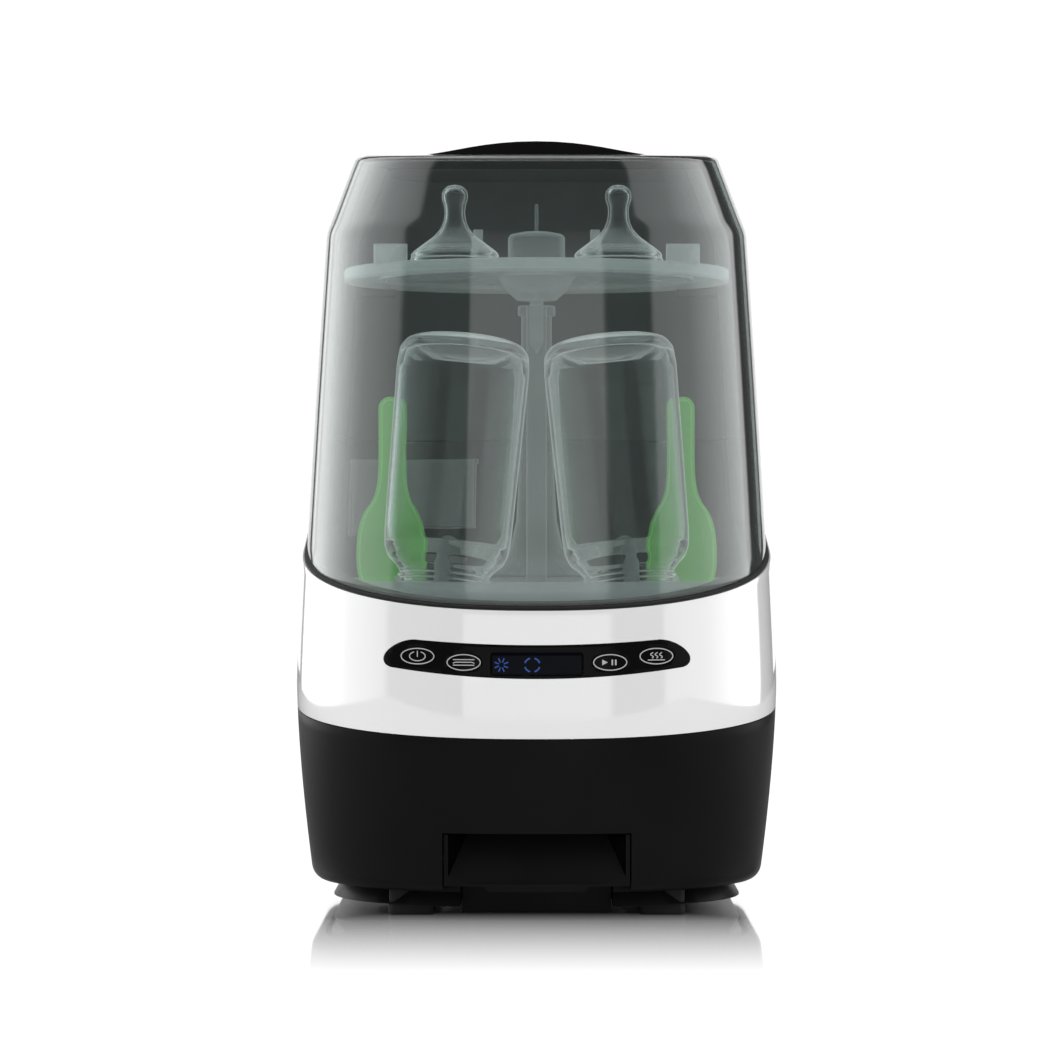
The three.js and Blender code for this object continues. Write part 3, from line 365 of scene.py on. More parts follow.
def add_lathe(bm, profile, segments, centre=(0, 0, 0), matrix=None):
    """Turns a closed profile of (radius, height) about Z, turned and moved by the matrix or centre."""
    turns = [2 * math.pi * i / segments for i in range(segments)]
    closed = profile + [profile[0]]
    rings = [[(r * math.cos(a), r * math.sin(a), h) for a in turns] for r, h in closed]
    if matrix:
        rings = [[tuple(matrix @ Vector(p)) for p in ring] for ring in rings]
    rings = [[(p[0] + centre[0], p[1] + centre[1], p[2] + centre[2]) for p in ring] for ring in rings]
    add_grid(bm, rings, wrap=True)
    weld(bm)


def soft_copy(name, width):
    """A finer copy of a CAD node: joined faces and rounded edges."""
    same_point, flat, folded = 1e-6, math.radians(0.5), 30.0
    bm = bmesh.new()
    bm.from_mesh(frame["nodes"][name].data)
    bmesh.ops.remove_doubles(bm, verts=bm.verts, dist=same_point)
    bmesh.ops.dissolve_limit(bm, angle_limit=flat, verts=bm.verts, edges=bm.edges)
    obj = new_piece(name + "_soft", bm, NODE_BODY[name], name, 35.0)
    bevel(obj, width, folded)
    paint(obj, PAINT[FINISH[name]])


# ------------------------------------------------------------------ shader nodes
def shader(name):
    m = bpy.data.materials.new(name)
    m.use_nodes = True
    m.node_tree.nodes.clear()
    return m, m.node_tree


def node(tree, kind, **values):
    """A new node; each value goes to the input of that name, or to the property."""
    n = tree.nodes.new(kind)
    for key, value in values.items():
        if key in n.inputs:
            n.inputs[key].default_value = value
        else:
            setattr(n, key, value)
    return n


def plug(tree, source, socket):
    """Links a socket to an input, or gives the input a plain value."""
    if isinstance(source, bpy.types.NodeSocket):
        tree.links.new(source, socket)
    else:
        socket.default_value = source


def to_output(tree, source, kind="ShaderNodeOutputMaterial"):
    plug(tree, source, node(tree, kind).inputs["Surface"])


def mixed(tree, share, first, second):
    """A shader that goes from the first to the second as share goes from 0 to 1."""
    mix = node(tree, "ShaderNodeMixShader")
    for source, socket in zip((share, first, second), mix.inputs):
        plug(tree, source, socket)
    return mix.outputs["Shader"]


def blended(tree, share, first, second):
    """A number that goes from the first to the second as share goes from 0 to 1."""
    mix = node(tree, "ShaderNodeMix", data_type="FLOAT")
    for source, key in ((share, "Factor"), (first, "A"), (second, "B")):
        plug(tree, source, mix.inputs[key])
    return mix.outputs["Result"]


def maths(tree, operation, *sources):
    n = node(tree, "ShaderNodeMath", operation=operation)
    for source, socket in zip(sources, n.inputs):
        plug(tree, source, socket)
    return n.outputs[0]


def noise(tree, scale, detail=3.0, stretch=None):
    """Noise with this many waves in a metre of the piece, closer along an axis where stretch says so."""
    coord = node(tree, "ShaderNodeTexCoord").outputs["Object"]
    if stretch:
        mapping = node(tree, "ShaderNodeMapping")
        mapping.inputs["Scale"].default_value = stretch
        tree.links.new(coord, mapping.inputs["Vector"])
        coord = mapping.outputs["Vector"]
    tex = node(tree, "ShaderNodeTexNoise", Scale=scale, Detail=detail, Roughness=0.55)
    tree.links.new(coord, tex.inputs["Vector"])
    return tex.outputs["Fac"]


def ramp(tree, source, low, high, start=0.3, end=0.7):
    """Runs from low to high as the source goes from start to end, and stays level outside."""
    r = node(tree, "ShaderNodeMapRange")
    r.inputs["From Min"].default_value = start
    r.inputs["From Max"].default_value = end
    r.inputs["To Min"].default_value = low
    r.inputs["To Max"].default_value = high
    tree.links.new(source, r.inputs["Value"])
    return r.outputs["Result"]


def curve_of(tree, source, low, high, stops):
    """A grey level along source from low to high; stops are (value of source, level)."""
    c = node(tree, "ShaderNodeValToRGB")
    elements = c.color_ramp.elements
    for k, (at, level) in enumerate(stops):
        place = (at - low) / (high - low)
        e = elements[k] if k < 2 else elements.new(place)
        e.position = place
        e.color = (level, level, level, 1)
    tree.links.new(ramp(tree, source, 0.0, 1.0, low, high), c.inputs["Fac"])
    return c.outputs["Color"]


def facing_power(tree, power, straight, glancing):
    """Runs from straight, seen straight on, to glancing at the rim, the same on both faces."""
    facing = node(tree, "ShaderNodeLayerWeight", Blend=0.5).outputs["Facing"]
    return ramp(tree, maths(tree, "POWER", facing, power), straight, glancing, 0.0, 1.0)


def tinted(tree, source, colour, change):
    """A colour that drifts lighter and darker by the share in change."""
    mix = node(tree, "ShaderNodeMix", data_type="RGBA")
    plug(tree, (*(c * (1 - change) for c in colour), 1), mix.inputs["A"])
    plug(tree, (*(min(1.0, c * (1 + change)) for c in colour), 1), mix.inputs["B"])
    plug(tree, ramp(tree, source, 0.0, 1.0), mix.inputs["Factor"])
    return mix.outputs["Result"]


# ------------------------------------------------------------------ materials
BROAD_GRAIN = 14.0
WHITE_LIGHT = (1, 1, 1, 1)


def principled(tree, colour, rough, **values):
    bsdf = node(tree, "ShaderNodeBsdfPrincipled", **values)
    plug(tree, colour, bsdf.inputs["Base Color"])
    plug(tree, rough, bsdf.inputs["Roughness"])
    return bsdf


def surface(name, colour, rough, change=0.06, rough_change=0.05, grain=900.0, height=0.00002,
            stretch=None, metal=0.0, more=None):
    """A Principled finish with drifting colour, uneven gloss and a fine moulded or brushed grain."""
    m, tree = shader(name)
    fine = noise(tree, grain, 4.0, stretch)
    gloss = ramp(tree, fine, max(0.0, rough - rough_change), rough + rough_change)
    drift = tinted(tree, noise(tree, BROAD_GRAIN), colour, change)
    bsdf = principled(tree, drift, gloss, Metallic=metal, **(more or {}))
    bump = node(tree, "ShaderNodeBump", Strength=0.5, Distance=height)
    tree.links.new(fine, bump.inputs["Height"])
    tree.links.new(bump.outputs["Normal"], bsdf.inputs["Normal"])
    to_output(tree, bsdf.outputs["BSDF"])
    return m


def painted_edge_highlight(tree, drift, colour, rough, painted_glint, **values):
    """A lit white layer mixed onto clear plastic as a painted highlight, with a painted glow of the
    strength given.
    """
    bsdf = principled(tree, tinted(tree, drift, colour, 0.04), rough, **values)
    tree.links.new(tinted(tree, drift, colour, 0.04), bsdf.inputs["Emission Color"])
    bsdf.inputs["Emission Strength"].default_value = painted_glint
    return bsdf.outputs["BSDF"]


def clear_wall(name, colour, edge, rough, ior, steep, veil, painted_glint):
    """Clear plastic or silicone: it bends what is seen through it, has a painted highlight where it turns
    away (a pale, glowing layer at the edges), and light passes it without a dark shadow."""
    m, tree = shader(name)
    drift = noise(tree, 40.0)
    bent = principled(tree, tinted(tree, drift, colour, 0.01), ramp(tree, drift, rough * 0.6, rough * 1.4),
                      IOR=ior, **{"Transmission Weight": 1.0})
    # Painted highlight: the pale layer, in the edge colour, that also glows.
    edge_highlight = painted_edge_highlight(tree, drift, edge, 0.2, painted_glint)
    turned = mixed(tree, facing_power(tree, steep, 0.0, 1.0), bent.outputs["BSDF"], edge_highlight)
    clear = node(tree, "ShaderNodeBsdfTransparent", Color=(*(veil * c for c in colour), 1))
    in_shadow = node(tree, "ShaderNodeLightPath").outputs["Is Shadow Ray"]
    to_output(tree, mixed(tree, in_shadow, turned, clear.outputs["BSDF"]))
    return m


def smoked(name, tint, straight, rough=0.012):
    """Thin tinted plastic: sees straight through and mirrors more at a glance."""
    m, tree = shader(name)
    through = node(tree, "ShaderNodeBsdfTransparent")
    tree.links.new(tinted(tree, noise(tree, 9.0), tint, 0.02), through.inputs["Color"])
    mirror = node(tree, "ShaderNodeBsdfGlossy", Color=WHITE_LIGHT)
    tree.links.new(ramp(tree, noise(tree, 7.0), rough * 0.7, rough * 1.3), mirror.inputs["Roughness"])
    share = facing_power(tree, 5.0, straight, 1.0)
    to_output(tree, mixed(tree, share, through.outputs["BSDF"], mirror.outputs["BSDF"]))
    return m


def thin_clear(name, tint, edge, straight, steep, rough, painted_glint, walls=0.0):
    """Clear walls seen straight through, with a share of a pale layer that stands for the frosted body. The
    pale layer's glow, its growth where the walls turn away, and the share in walls on upright faces are a
    painted highlight."""
    m, tree = shader(name)
    drift = noise(tree, 20.0)
    through = node(tree, "ShaderNodeBsdfTransparent")
    tree.links.new(tinted(tree, drift, tint, 0.015), through.inputs["Color"])
    gloss = ramp(tree, noise(tree, 90.0), rough * 0.7, rough * 1.4)
    edge_highlight = painted_edge_highlight(tree, drift, edge, gloss, painted_glint, **{"Specular IOR Level": 0.8})
    upright = node(tree, "ShaderNodeSeparateXYZ")
    tree.links.new(node(tree, "ShaderNodeNewGeometry").outputs["Normal"], upright.inputs["Vector"])
    # Painted highlight on upright faces such as rims, at least the share in walls.
    upright_highlight_share = ramp(tree, maths(tree, "ABSOLUTE", upright.outputs["Z"]), walls, 0.0, 0.1, 0.6)
    share = maths(tree, "MAXIMUM", facing_power(tree, steep, straight, 1.0), upright_highlight_share)
    to_output(tree, mixed(tree, share, through.outputs["BSDF"], edge_highlight))
    return m


def glow(name, colour, strength):
    m = surface(name, tuple(c * 0.3 for c in colour), 0.3)
    tree = m.node_tree
    bsdf = tree.nodes["Principled BSDF"]
    bsdf.inputs["Emission Strength"].default_value = strength
    tree.links.new(tinted(tree, noise(tree, 260.0), colour, 0.12), bsdf.inputs["Emission Color"])
    return m


# Colours of the painted edge highlights; the grey is also the colour of the frosted body seen straight on.
EDGE_HIGHLIGHT_WHITE = (0.97, 0.98, 0.975)
BODY_AND_HIGHLIGHT_GREY = (0.93, 0.945, 0.945)
PAINT = {
    "white": surface(
        "white_gloss_plastic", (0.92, 0.92, 0.925), 0.07, change=0.012, rough_change=0.02, grain=700,
        height=0.000001,
        more={"Specular IOR Level": 1.0, "Coat Weight": 1.0, "Coat IOR": 2.7, "Coat Roughness": 0.04}),
    "black": surface(
        "black_satin_plastic", (0.0058, 0.0058, 0.0060), 0.36, change=0.15, grain=1500, height=0.000006,
        more={"Specular IOR Level": 0.08}),
    "panel": surface(
        "panel_gloss_black", (0.003, 0.003, 0.0034), 0.09, change=0.1, rough_change=0.03, grain=500,
        height=0.000004, more={"Specular IOR Level": 0.16}),
    "display": surface(
        "display_window", (0.0015, 0.002, 0.004), 0.06, change=0.2, rough_change=0.02, grain=300,
        height=0.000004, more={"Specular IOR Level": 0.14}),
    "board": surface(
        "circuit_board", (0.015, 0.09, 0.045), 0.45, change=0.3, rough_change=0.1, grain=400,
        height=0.0001),
    "rubber": surface(
        "black_rubber", (0.011, 0.011, 0.0115), 0.75, change=0.15, rough_change=0.1, grain=1800,
        height=0.00008),
    "tub": surface("tub_grey_plastic", (0.10, 0.112, 0.112), 0.36, change=0.08, height=0.000003),
    "liner": surface("liner_grey_plastic", (0.15, 0.165, 0.165), 0.38, change=0.08, height=0.000003),
    "jet": surface("jet_grey_plastic", (0.42, 0.44, 0.44), 0.3, rough_change=0.06, height=0.000004),
    "smoke": smoked("smoke_tinted_plastic", (0.745, 0.795, 0.786), straight=0.13),
    # In the clear, frosted and green finishes below, the edge colour and the glow strength make a painted
    # highlight; for the frosted and green ones the edge colour is also the body's colour seen straight on.
    "translucent": thin_clear(
        "frosted_grey_plastic", (0.88, 0.895, 0.895), BODY_AND_HIGHLIGHT_GREY, straight=0.30, steep=1.5, rough=0.2,
        painted_glint=0.07, walls=0.6),
    "clear": clear_wall(
        "clear_bottle_plastic", (0.99, 0.992, 0.99), EDGE_HIGHLIGHT_WHITE, rough=0.012, ior=1.40, steep=4.5, veil=0.95,
        painted_glint=0.55),
    "silicone": clear_wall(
        "clear_silicone", (0.975, 0.98, 0.978), EDGE_HIGHLIGHT_WHITE, rough=0.03, ior=1.40, steep=4.0, veil=0.92,
        painted_glint=0.75),
    "green": thin_clear(
        "green_spoon_plastic", (0.50, 0.86, 0.45), (0.46, 0.92, 0.36), straight=0.36, steep=1.6, rough=0.2,
        painted_glint=0.34),
    "tower": thin_clear(
        "clear_grey_plastic", (0.90, 0.91, 0.91), BODY_AND_HIGHLIGHT_GREY, straight=0.12, steep=2.2, rough=0.15,
        painted_glint=0.1, walls=0.2),
    "steel": surface(
        "brushed_steel", (0.6, 0.61, 0.62), 0.27, rough_change=0.08, grain=260, height=0.00003,
        stretch=(1, 1, 22), metal=1.0),
    "aluminium": surface(
        "cast_aluminium", (0.55, 0.56, 0.57), 0.42, change=0.08, rough_change=0.1, height=0.00008,
        metal=1.0),
    "filter": surface(
        "filter_fleece", (0.78, 0.77, 0.7), 0.9, change=0.1, rough_change=0.08, grain=2400, height=0.0003),
}
PRINT = surface("grey_print", (0.42, 0.42, 0.43), 0.35, change=0.08)
BLUE = glow("display_blue", (0.02, 0.07, 0.30), 0.7)

FINISH = {**NODE_SLOT, "spray_tower": "tower", "tray_hub": "tower", "detergent_cup": "tower"}
for name, obj in frame["nodes"].items():
    paint(obj, PAINT[FINISH[name]])


# ------------------------------------------------------------------ the shells
SHOULDER_LEVELS = [399.0, 401.0, 402.5, 404.0, 405.5, 407.0, 409.0, 411.0]
SHOULDER_CLEAR = 3
WALL_ROWS, ABOVE_SHOULDER_ROWS, CORNER_ROWS = 20, 5, 5
TOP_ROWS, TOP_ROWS_POWER = 14, 0.9
SKIN_OFFSET = 2.0
SKIN_SMOOTH, CUT_SMOOTH = 30, 40


def wall_levels(low, high):
    """Heights from low to high, closer together where the shoulder bends."""
    below = spread(low, SHOULDER_LEVELS[0] - SHOULDER_CLEAR, WALL_ROWS)
    above = spread(SHOULDER_LEVELS[-1] + SHOULDER_CLEAR, high, ABOVE_SHOULDER_ROWS)
    return below + SHOULDER_LEVELS + above


def rows_of(columns):
    """Turns a list of columns of points into rows."""
    return [list(row) for row in zip(*columns)]


def lid_rows(columns, lows, inset, radius, pole_y):
    """Walls up from lows, a rounded top edge and a top plate that runs in to a pole at (0, pole_y)."""
    def below_top(column, drop, inward):
        """The point of the column that lies drop below the top surface, moved inward."""
        z = meeting_z(column, inset + inward, lambda y: top_z(y, inset) - drop)
        return (*column_xy(column, z, inset + inward), z)

    walls = []
    for column, low in zip(columns, lows):
        high = below_top(column, radius, 0)[2]
        walls.append([(*column_xy(column, z, inset), z) for z in wall_levels(low, high)])
    rows = rows_of(walls)
    for a in spread(0.0, math.pi / 2, CORNER_ROWS)[1:]:
        drop, inward = radius * (1 - math.sin(a)), radius * (1 - math.cos(a))
        rows.append([below_top(c, drop, inward) for c in columns])
    rim = rows[-1]
    for k in range(1, TOP_ROWS + 1):
        t = (k / TOP_ROWS) ** TOP_ROWS_POWER
        inwards = [(x - x * t, y + (pole_y - y) * t) for x, y, _ in rim]
        rows.append([(x, y, top_z(y, inset)) for x, y in inwards])
    return rows


def make_dome():
    inset, wall, radius, edge = 2.6, 2.5, 2.4, 0.7
    columns = dome_columns(0)
    lows = [parting_on(c, inset, 0) for c in columns]
    bm = bmesh.new()
    add_grid(bm, lid_rows(columns, lows, inset, radius, PARTING_Y))
    weld(bm)
    dome = new_piece("dome_shell", bm, "lid", "dome_lid", SKIN_SMOOTH)
    solidify(dome, wall)
    bevel(dome, edge)
    paint(dome, PAINT["smoke"])


HATCH = (0, 127.5, 174, 43)
HATCH_CORNER = 5
HATCH_CUT_Z = (430, 480)
PANEL_GAP = 0.4
PANEL_CUT_Y = (-200, -120)


def make_housing():
    wall, radius, edge = 2.2, 3.0, 0.7
    rear = rear_columns(SKIN_OFFSET)
    ring = full_ring(SKIN_OFFSET)
    front_count = len(ring) - (len(rear) - 1)
    tops = [parting_on(c, 0, SKIN_OFFSET) for c in ring[:front_count]] + [ARC_Z] * (len(rear) - 1)
    lower = [
        [(*column_xy(c, z, 0), z) for z in spread(seam_on(c, SEAM_HALF_GAP), top, WALL_ROWS)]
        for c, top in zip(ring, tops)
    ]
    bm = bmesh.new()
    add_grid(bm, rows_of(lower), wrap=True)
    add_grid(bm, lid_rows(rear, [ARC_Z] * len(rear), 0, radius, PARTING_Y + SKIN_OFFSET))
    weld(bm)
    housing = new_piece("housing_shell", bm, "body", "main_housing", SKIN_SMOOTH)
    solidify(housing, wall)
    bevel(housing, edge)
    cut(housing, round_rect(*HATCH, HATCH_CORNER), "z", *HATCH_CUT_Z)
    cut(housing, panel_outline(PANEL_GAP), "y", *PANEL_CUT_Y)
    smooth(housing, CUT_SMOOTH)
    paint(housing, PAINT["white"])


WASTE_HALF_WIDTH, WASTE_TOP_Z = 54.8, 50.4
WASTE_CUT_Y, REAR_CUT_Y = (-200, -60), (100, 200)
VENT = (60, 84, 72.8, 54.8)
SOCKET = (-72, 50, 28.8, 21.8)
FRAME_CORNER = 5.4


def make_base():
    wall, edge, wall_rows = 2.6, 0.6, 14
    turn_z, turn_height, turn_inset, turn_rows = 24, 8, 7, 6
    ring = full_ring(SKIN_OFFSET)
    rows = []
    for a in spread(0.0, math.pi / 2, turn_rows):
        z, inset = turn_z - turn_height * math.cos(a), turn_inset * (1 - math.sin(a))
        rows.append([(*column_xy(c, z, inset), z) for c in ring])
    walls = [
        [(*column_xy(c, z, 0), z) for z in spread(turn_z, seam_on(c, -SEAM_HALF_GAP), wall_rows)[1:]]
        for c in ring
    ]
    bm = bmesh.new()
    add_grid(bm, rows + rows_of(walls), wrap=True)
    weld(bm)
    base = new_piece("base_skin", bm, "body", "base_shell", SKIN_SMOOTH)
    solidify(base, wall)
    bevel(base, edge)
    w = WASTE_HALF_WIDTH
    cut(base, [(-w, 0), (w, 0), (w, WASTE_TOP_Z), (-w, WASTE_TOP_Z)], "y", *WASTE_CUT_Y)
    cut(base, round_rect(*VENT, FRAME_CORNER), "y", *REAR_CUT_Y)
    cut(base, round_rect(*SOCKET, FRAME_CORNER), "y", *REAR_CUT_Y)
    smooth(base, CUT_SMOOTH)
    paint(base, PAINT["black"])


# ------------------------------------------------------------------ the panel
def panel_outline(grow):
    """The panel's outline in (x, z): a long smile with blunt ends."""
    x1, x2, tip = 71, 83, 88.8 + grow
    high, dip, low, sag = 162.3 + grow, 156.2 + grow, 146.6 - grow, 134.4 - grow
    tip_z, tip_high, tip_low = 151.5, 156, 148.5
    curves = [
        [(-tip, tip_z), (-tip, tip_high), (-80 - grow, high), (-x1, high)],
        [(-x1, high), (0, dip), (x1, high)],
        [(x1, high), (80 + grow, high), (tip, tip_high), (tip, tip_z)],
        [(tip, tip_z), (tip, tip_low), (x2 + 4, low + 0.4), (x2, low)],
        [(x2, low), (0, sag), (-x2, low)],
        [(-x2, low), (-x2 - 4, low + 0.4), (-tip, tip_low), (-tip, tip_z)],
    ]
    long_steps, end_steps = 28, 12
    return [p for curve in curves for p in bezier(curve, long_steps if len(curve) == 3 else end_steps)]


KEYS = {
    "power": (-69.2, 153.0),
    "mode": (-42.3, 149.6),
    "start": (42.3, 149.6),
    "dry": (69.2, 153.0),
}
KEY_X, KEY_Z = 10.3, 5.2
KEY_GAP = 0.35
DISPLAY = (0.0, 148.6, 53.0, 12.4)
DISPLAY_CORNER, DISPLAY_GAP = 1.5, 0.4
GLASS_INSET, GLASS_BACK = 0.6, 4.0
SUN_AT = (-20.5, 148.2)
RING_AT = (-2.7, 148.2)
LINE = 0.55
SKIN_CUT_Y = (-220, -60)


def front_sheet(name, body, replaced, slot, across, up, inset, back, outline, holes=(), edge=0.25):
    """A curved slice of the front skin between two insets, trimmed to an outline in (x, z).
    across and up are the limits in x and z that the outline lies within."""
    step, up_steps = 1.6, 8
    xs = spread(*across, max(6, int((across[1] - across[0]) / step)))
    zs = spread(*up, up_steps)
    rows = [[(x, front_y(x, z, inset), z) for x in xs] for z in zs]
    rows += [[(x, front_y(x, z, back), z) for x in xs] for z in reversed(zs)]
    bm = bmesh.new()
    grid = add_grid(bm, rows, close=True)
    count = len(grid)
    for side in (0, -1):
        for k in range(count // 2 - 1):
            near, far = (grid[k], grid[k + 1]), (grid[count - 2 - k], grid[count - 1 - k])
            bm.faces.new([row[side] for row in near + far])
    weld(bm, 1e-7)
    piece = new_piece(name, bm, body, replaced)
    cut(piece, outline, "y", *SKIN_CUT_Y, "INTERSECT")
    for hole in holes:
        cut(piece, hole, "y", *SKIN_CUT_Y)
    bevel(piece, edge)
    smooth(piece, 35)
    paint(piece, PAINT[slot])


def stroke(bm, path, width, inset, back, closed=False):
    """A raised line of this width that follows the front skin."""
    rows = []
    n = len(path)
    for i, (x, z) in enumerate(path):
        a = path[(i - 1) % n] if closed or i else path[0]
        b = path[(i + 1) % n] if closed or i < n - 1 else path[-1]
        dx, dz = b[0] - a[0], b[1] - a[1]
        length = math.hypot(dx, dz)
        nx, nz = -dz / length * width / 2, dx / length * width / 2
        sides = [(x + nx, z + nz), (x - nx, z - nz)]
        near = [(u, front_y(u, v, inset), v) for u, v in sides]
        far = [(u, front_y(u, v, back), v) for u, v in reversed(sides)]
        rows.append(near + far)
    grid = add_grid(bm, rows, wrap=True, close=closed)
    if not closed:
        bm.faces.new(grid[0])
        bm.faces.new(grid[-1])


def icon_lines(name):
    """The strokes of a key's symbol round (0, 0), each a path and its width."""
    if name == "power":
        return [(arc(0, 0, 4.6, 2.7, 65, -245), LINE), ([(0, -0.4), (0, 3.0)], LINE)]
    if name == "mode":
        bars = [([(-6.2, level), (6.2, level)], LINE) for level in (1.6, -1.6)]
        return bars + [([(-6.2, -0.5), (-4.8, 0.1), (4.8, 0.1), (6.2, -0.5)], LINE)]
    if name == "start":
        steps = [(-4.4 + 0.5 * k, 1.5 - 0.25 * k) for k in range(6)]
        arrow = [([(x, -h), (x, h)], 0.52) for x, h in steps]
        return arrow + [([(x, -1.6), (x, 1.6)], 0.9) for x in (1.2, 3.2)]
    waves = [
        ([(x + 0.9 * math.sin(i * 0.9), -1.2 + 0.42 * i) for i in range(9)], LINE)
        for x in (-2.6, 0.0, 2.6)
    ]
    return waves + [([(-5, -2.2), (5, -2.2)], LINE)]


def make_key(name, x, z):
    """A key's cap, with a printed ring and a symbol on it."""
    body = "key_" + name
    reach_x, reach_z = 12, 7
    front_sheet(body + "_cap", body, body, "panel", (x - reach_x, x + reach_x), (z - reach_z, z + reach_z),
                GLASS_INSET, GLASS_BACK, oval(x, z, KEY_X, KEY_Z), edge=0.3)
    inset, back, ring_in, ring_width = 0.45, 0.75, 0.7, 0.6
    bm = bmesh.new()
    stroke(bm, oval(x, z, KEY_X - ring_in, KEY_Z - ring_in), ring_width, inset, back, closed=True)
    for path, width in icon_lines(name):
        stroke(bm, [(x + u, z + v) for u, v in path], width, inset, back)
    paint(new_piece(body + "_mark", bm, body, None, 30), PRINT)


def make_display_icons():
    """The lit symbols: a sun of eight rays and a ring of four arcs."""
    inset, back, ray_width, ring_width = 0.5, 0.7, 0.7, 0.9
    bm = bmesh.new()
    for ray in range(8):
        a = math.radians(22.5 + 45 * ray)
        ends = [(SUN_AT[0] + r * math.cos(a), SUN_AT[1] + r * math.sin(a)) for r in (1.5, 4.2)]
        stroke(bm, ends, ray_width, inset, back)
    for middle in (45, 135, 225, 315):
        stroke(bm, arc(*RING_AT, 4.4, 4.0, middle - 28, middle + 28, 8), ring_width, inset, back)
    paint(new_piece("display_icons", bm, "body", None, 30), BLUE)


def make_panel():
    x, z, w, h = DISPLAY
    gap, corner_steps = DISPLAY_GAP, 5
    holes = [oval(kx, kz, KEY_X + KEY_GAP, KEY_Z + KEY_GAP) for kx, kz in KEYS.values()]
    holes.append(round_rect(x, z, w + 2 * gap, h + 2 * gap, DISPLAY_CORNER + gap, corner_steps))
    front_sheet("bezel_plate", "body", "control_bezel", "panel", (-92, 92), (136, 165), 0.3, 3.1,
                panel_outline(0), holes)
    front_sheet("display_glass", "body", "display_module", "display", (-30, 30), (140, 157),
                GLASS_INSET, GLASS_BACK, round_rect(x, z, w, h, DISPLAY_CORNER, corner_steps))
    make_display_icons()
    for name, place in KEYS.items():
        make_key(name, *place)


def make_gasket():
    """The black strip between the dome and the housing: round the front, up both sides and across."""
    rise_steps, across_steps = 18, 16

    def loop(inset, offset):
        points = []
        for c in dome_columns(offset):
            z = parting_on(c, inset, offset)
            points.append((*column_xy(c, z, inset), z))
        y = PARTING_Y + offset
        top = top_z(y) - inset
        end_z = points[-1][2]
        rise = [(half_width(z) - inset, y, z) for z in spread(end_z, top, rise_steps)[1:]]
        reach = half_width(top) - inset
        across = [(x, y, top) for x in spread(reach, -reach, across_steps)[1:-1]]
        fall = [(-px, py, pz) for px, py, pz in reversed(rise)]
        return points + rise + across + fall

    # (inset, offset) round the strip's section, with small bevels at its corners
    section = [
        (1.0, 0.6), (1.2, 0.42), (8.4, 0.42), (8.6, 0.6), (8.6, 1.4), (8.4, 1.58), (1.2, 1.58), (1.0, 1.4)]
    bm = bmesh.new()
    add_grid(bm, [loop(inset, offset) for inset, offset in section], wrap=True, close=True)
    weld(bm, 1e-6)
    paint(new_piece("seal_strip", bm, "body", "lid_gasket", 50), PAINT["rubber"])


make_dome()
make_housing()
make_base()
make_panel()
make_gasket()

# ------------------------------------------------------------------ the load in the chamber
BOTTLE_FOOT = (56.0, -92.0, 188.4)
BOTTLE_LEAN, BOTTLE_TIP = 5, -7.5
THREADS, THREAD_PITCH, NECK_RADIUS, THREAD_RADIUS = 3, 3.3, 26.6, 28.0
NIPPLE_FOOT = (49.5, -50, 387.7)
BOTTLE_SEGMENTS, NIPPLE_SEGMENTS = 96, 72
SPOON_AT = (89, -40)


def bottle_matrix(side):
    x, y, z = BOTTLE_FOOT
    lean = Matrix.Rotation(math.radians(-side * BOTTLE_LEAN), 4, "Y")
    tip = Matrix.Rotation(math.radians(BOTTLE_TIP), 4, "X")
    return Matrix.Translation((side * x, y, z)) @ tip @ lean


def make_bottle(side, name):
    """A bottle on its mouth: profiles run from the mouth up to the bottle's bottom."""
    threads = []
    for k in range(THREADS):
        h = 2.2 + THREAD_PITCH * k
        threads += [(NECK_RADIUS, h - 1.2), (THREAD_RADIUS, h - 0.35), (THREAD_RADIUS, h + 0.35),
                    (NECK_RADIUS, h + 1.2)]
    outside = [(NECK_RADIUS, 0.0)] + threads + [
        (NECK_RADIUS, 11), (29.4, 15), (34.6, 19.5), (37.2, 26), (38, 36), (39.8, 135), (38.8, 146),
        (35.2, 151), (30, 153), (27, 152.4), (22, 151.2), (0.01, 150.6)]
    inside = [
        (0.01, 147.2), (22, 147.6), (29, 148), (35.8, 144), (37.8, 133), (36.0, 37), (34.8, 28),
        (28.2, 19.0), (24.6, 13), (24.6, 0.0)]
    bm = bmesh.new()
    profile = soften(outside, 1.6, 3) + soften(inside, 1.6, 3)
    add_lathe(bm, profile, BOTTLE_SEGMENTS, matrix=bottle_matrix(side))
    paint(new_piece("feeding_" + name, bm, name, name, 45), PAINT["clear"])


def make_nipple(side, name):
    """A nipple on its seat: profiles run from its foot up to its tip."""
    x, y, z = NIPPLE_FOOT
    outside = [
        (27, 0), (27.2, 2.2), (26.2, 3.2), (26.8, 4.6), (25.4, 6.6), (19.4, 11.2), (12.8, 16),
        (8.7, 20.6), (6.9, 25), (6.1, 30), (6.4, 34.4), (8.0, 38.8), (7.6, 43.4), (4.4, 46.6), (0.01, 47.4)]
    inside = [
        (0.01, 45.8), (3.8, 45.0), (6.2, 42.4), (6.4, 39), (5.0, 34.6), (4.7, 30), (5.4, 25.4),
        (7.3, 20.8), (11.4, 16.2), (18, 11), (23, 6.2), (23.6, 3), (23.6, 0)]
    bm = bmesh.new()
    profile = soften(outside, 1.4, 4) + soften(inside, 1.6, 3)
    add_lathe(bm, profile, NIPPLE_SEGMENTS, (side * x, y, z))
    paint(new_piece("teat_" + name, bm, name, name, 50), PAINT["silicone"])


